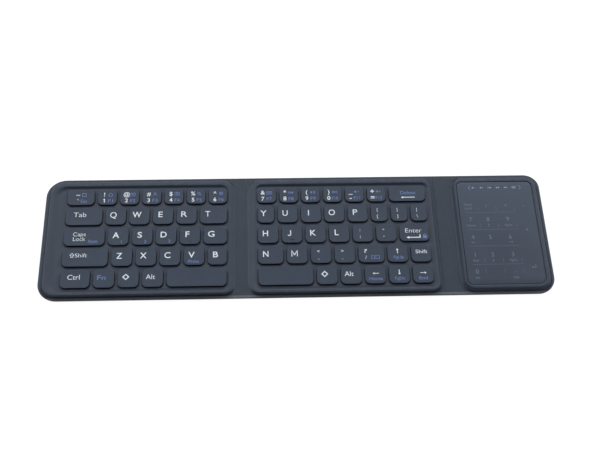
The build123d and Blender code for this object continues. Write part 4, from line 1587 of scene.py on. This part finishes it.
def parent_of(node):
    """The panel that a key's joint is mounted on."""
    return next(joint["parent"] for joint in frame["joints"] if joint["child"] == body_of(node))


class KEYBOARD_OT_keycaps(bpy.types.Operator):
    """Make the keycaps of every key body"""

    bl_idname = "keyboard.keycaps"
    bl_label = "Keycaps"

    def execute(self, context):
        for node in KEY_NODES:
            grids = []
            for _, centre, size in key_boxes(node):
                grids.append(cap_surface(centre, size))
                if node in HOME_KEYS:
                    grids.append(home_bar(centre, size))
            points, faces = join_grids(grids)
            caps = make_piece(f"{node}_cap", points, faces, [FINISHES["cap"]], smooth=math.radians(60))
            place(caps, body_of(node), "keycap", node)
        return {"FINISHED"}


class KEYBOARD_OT_legends(bpy.types.Operator):
    """Print the legends on the keycaps"""

    bl_idname = "keyboard.legends"
    bl_label = "Key legends"

    def execute(self, context):
        for node in KEY_NODES:
            parts = []
            for name, centre, size in key_boxes(node):
                for flat, faces, colour in key_marks(name, size):
                    points = flat + centre
                    ground = CAP_TOP - dish(points, centre, size)
                    top = ground + sizes().ink
                    parts.append((points, faces, ground - INK_SUNK, top, int(colour == "blue")))
            if parts:
                legends = print_piece(f"{node}_legends", parts, [FINISHES["white"], FINISHES["blue"]])
                place(legends, body_of(node))
        return {"FINISHED"}


class KEYBOARD_OT_touch_glass(bpy.types.Operator):
    """Make the touch glass with its ground edge"""

    bl_idname = "keyboard.touch_glass"
    bl_label = "Touch glass"

    def execute(self, context):
        low, high, _, _ = box_of("pad_rim")
        inset = PAD_WIDTH + sizes().glass_gap
        low = low[:2] + np.array((inset - PAD_SPINE_LESS + GLASS_AWAY, inset))
        high = high[:2] - np.array((inset - GLASS_AWAY, inset + PAD_BACK_EXTRA - GLASS_BACK_OUT))
        (_, front_corner), (_, back_corner) = PAD_CORNERS
        radii = np.array((front_corner, back_corner, FOOT_CORNER, FOOT_CORNER)) - inset
        outline = rounded_outline((low + high) / 2, high - low, radii, 14)[0]
        edge = sizes().glass_edge
        glass = flat_plate("touch_glass_pane", [outline], GLASS_LOW, GLASS_TOP, edge, FINISHES["glass"])
        place(glass, "touch_panel", "touch_glass", "touch_glass")
        return {"FINISHED"}


class KEYBOARD_OT_touch_print(bpy.types.Operator):
    """Print the faint number pad and the icon row on the touch glass"""

    bl_idname = "keyboard.touch_print"
    bl_label = "Touch print"

    def execute(self, context):
        _, _, centre, _ = box_of("touch_glass")
        marks = []
        for i, icon in enumerate(TOUCH_ICONS):
            x = TOUCH_ICONS_X + i * TOUCH_ICONS_STEP
            marks += mark(icon, x, TOUCH_ICONS_Y, TOUCH_ICONS_HEIGHT, "bright")
        for kind, x, y, height in TOUCH_LABELS:
            marks += mark(kind, x, y, height)
        for start, x in BRACKETS:
            bracket = circle(BRACKET_RADIUS, 8, start, start + 180, (x, TOUCH_ICONS_Y))
            marks.append(drawn(bracket, BRACKET_LINE, "bright"))
        for y in GRID_ROWS:
            marks.append(drawn(((GRID_LEFT, y), (GRID_RIGHT, y)), GRID_LINE, "white"))
        for x in GRID_COLUMNS:
            for y in GRID_STROKES:
                marks.append(drawn(((x, y), (x, y + GRID_STROKE_LENGTH)), GRID_LINE, "white"))
        parts = []
        for flat, faces, ink_name in marks:
            points = flat + centre[:2]
            low = np.full(len(points), GLASS_TOP - GLASS_INK_SUNK)
            top = low + GLASS_INK_SUNK + sizes().glass_ink
            parts.append((points, faces, low, top, int(ink_name == "bright")))
        place(print_piece("touch_print", parts, [FINISHES["glass_ink"], FINISHES["icon_ink"]]), "touch_panel")
        return {"FINISHED"}


# Name, place in metres, size in metres and power in watts of each softbox.
LAMPS = (
    ("back_softbox", (0.0, 1.1, 0.9), (2.0, 0.6), 13.6),
    ("top_softbox", (0.0, 0.1, 1.4), (0.8, 0.8), 1.2),
    ("left_softbox", (-1.0, 0.35, 0.6), (0.8, 0.8), 5.7),
    ("right_softbox", (1.0, 0.35, 0.6), (0.8, 0.8), 5.0),
)
# The photograph's camera, fitted to the outline's corners and the letter keys.
CAMERA_ANGLES = 58.91, -4.24, 2.86  # degrees below level, turn about Z, roll
CAMERA_PLACE = -0.02676, -0.38844, 0.66151
CAMERA_LENS = 65.22  # millimetres, on a sensor 36 mm wide
FLOOR_SIDE = 4.0  # half the floor's side, in metres
FLOOR_GREY, FLOOR_GLOW = 0.22, 0.91  # what the floor reflects, and what it adds to look white
SKY_COLOUR = 0.95, 0.97, 1.0
SKY_LIGHT, SKY_SEEN = 0.12, 0.88  # the world's strength, and what the camera sees beyond it


class KEYBOARD_OT_stage(bpy.types.Operator):
    """Make the floor, the lamps and the camera at the photograph's angle"""

    bl_idname = "keyboard.stage"
    bl_label = "Stage"

    def execute(self, context):
        scene = context.scene
        scene.view_settings.view_transform = "Standard"
        self.floor()
        self.world(scene)
        for name, spot, size, power in LAMPS:
            self.lamp(name, spot, size, power)
        self.camera(scene)
        return {"FINISHED"}

    def floor(self):
        """Pale floor: it takes the shadow, and looks white to the camera and in reflections."""
        sides = -FLOOR_SIDE, FLOOR_SIDE
        points = np.array([(x, y, 0.0) for x in sides for y in sides])
        mesh = bpy.data.meshes.new("floor")
        mesh.from_pydata(points.tolist(), [], [(0, 2, 3, 1)])
        floor = bpy.data.objects.new("floor", mesh)
        bpy.context.scene.collection.objects.link(floor)
        material = bpy.data.materials.new("floor")
        material.use_nodes = True
        tree = material.node_tree
        start = Wire(tree, None)
        tree.nodes.remove(next(node for node in tree.nodes if node.type == "BSDF_PRINCIPLED"))
        paths = start.node("ShaderNodeLightPath").socket.node.outputs
        rays = "Is Camera Ray", "Is Glossy Ray", "Is Transmission Ray"
        camera, glossy, through = (Wire(tree, paths[ray]) for ray in rays)
        seen = start.maths("ADD", camera + glossy, through, clamp=True)
        diffuse = start.node("ShaderNodeBsdfDiffuse", Color=(FLOOR_GREY,) * 3)
        glow = start.node("ShaderNodeEmission", Color=(1.0, 1.0, 1.0), Strength=FLOOR_GLOW)
        lit = start.node("ShaderNodeAddShader")
        tree.links.new(diffuse.socket, lit.socket.node.inputs[0])
        tree.links.new(glow.socket, lit.socket.node.inputs[1])
        mixed = start.node("ShaderNodeMixShader", Fac=seen).socket.node
        tree.links.new(diffuse.socket, mixed.inputs[1])
        tree.links.new(lit.socket, mixed.inputs[2])
        output = next(node for node in tree.nodes if node.type == "OUTPUT_MATERIAL")
        tree.links.new(mixed.outputs[0], output.inputs[0])
        mesh.materials.append(material)

    def world(self, scene):
        """White to the camera, and a low even light for everything else."""
        world = bpy.data.worlds.new("studio")
        scene.world = world
        world.use_nodes = True
        tree = world.node_tree
        background = next(node for node in tree.nodes if node.type == "BACKGROUND")
        start = Wire(tree, None)
        camera = start.node("ShaderNodeLightPath")
        start.plug(background.inputs[0], SKY_COLOUR)
        start.plug(background.inputs[1], SKY_LIGHT + camera * SKY_SEEN)

    def lamp(self, name, spot, size, power):
        """Rectangular softbox that looks at the keyboard's middle."""
        light = bpy.data.lights.new(name, "AREA")
        light.shape = "RECTANGLE"
        light.size, light.size_y = size
        light.energy = power
        lamp = bpy.data.objects.new(name, light)
        lamp.location = spot
        lamp.rotation_euler = (-Vector(spot)).to_track_quat("-Z", "Y").to_euler()
        bpy.context.scene.collection.objects.link(lamp)

    def camera(self, scene):
        """Camera at the photograph's angle: three axes from its angles, which make its rotation."""
        elevation, yaw, roll = (math.radians(angle) for angle in CAMERA_ANGLES)
        forward = Vector((0, math.cos(elevation), -math.sin(elevation)))
        right = Vector((1, 0, 0))
        up = right.cross(forward)
        turn = Matrix.Rotation(yaw, 3, "Z")
        forward, right, up = turn @ forward, turn @ right, turn @ up
        side = math.cos(roll) * right + math.sin(roll) * up
        top = -math.sin(roll) * right + math.cos(roll) * up
        data = bpy.data.cameras.new("camera")
        data.sensor_width = 36.0
        data.lens = CAMERA_LENS
        data.clip_start, data.clip_end = 0.01, 20.0
        camera = bpy.data.objects.new("camera", data)
        rotation = Matrix((side, top, -forward)).transposed().to_4x4()
        camera.matrix_world = Matrix.Translation(CAMERA_PLACE) @ rotation
        scene.collection.objects.link(camera)
        scene.camera = camera


OPERATORS = (
    KEYBOARD_OT_finishes, KEYBOARD_OT_covers, KEYBOARD_OT_spines, KEYBOARD_OT_rims, KEYBOARD_OT_key_plates,
    KEYBOARD_OT_keycaps, KEYBOARD_OT_legends, KEYBOARD_OT_touch_glass, KEYBOARD_OT_touch_print,
    KEYBOARD_OT_stage,
)


class KEYBOARD_PT_build(bpy.types.Panel):
    """Lists the steps that build the keyboard's looks"""

    bl_idname = "KEYBOARD_PT_build"
    bl_label = "Folding keyboard"
    bl_space_type = "VIEW_3D"
    bl_region_type = "UI"
    bl_category = "Keyboard"

    def draw(self, context):
        for group in (context.scene.keyboard_sizes, context.scene.keyboard_colours):
            box = self.layout.box()
            for name in group.bl_rna.properties.keys():
                if name not in ("rna_type", "name"):
                    box.prop(group, name)
        for operator in OPERATORS:
            self.layout.operator(operator.bl_idname)


CLASSES = (KeyboardSizes, KeyboardColours, *OPERATORS, KEYBOARD_PT_build)


def register():
    """Add the settings, the steps and the panel to Blender."""
    for cls in CLASSES:
        bpy.utils.register_class(cls)
    bpy.types.Scene.keyboard_sizes = bpy.props.PointerProperty(type=KeyboardSizes)
    bpy.types.Scene.keyboard_colours = bpy.props.PointerProperty(type=KeyboardColours)


def unregister():
    """Take them out again."""
    del bpy.types.Scene.keyboard_colours
    del bpy.types.Scene.keyboard_sizes
    for cls in reversed(CLASSES):
        bpy.utils.unregister_class(cls)


def main():
    """Run every step in order."""
    register()
    for operator in OPERATORS:
        group, step = operator.bl_idname.split(".")
        getattr(getattr(bpy.ops, group), step)()


if __name__ == "__main__":
    main()
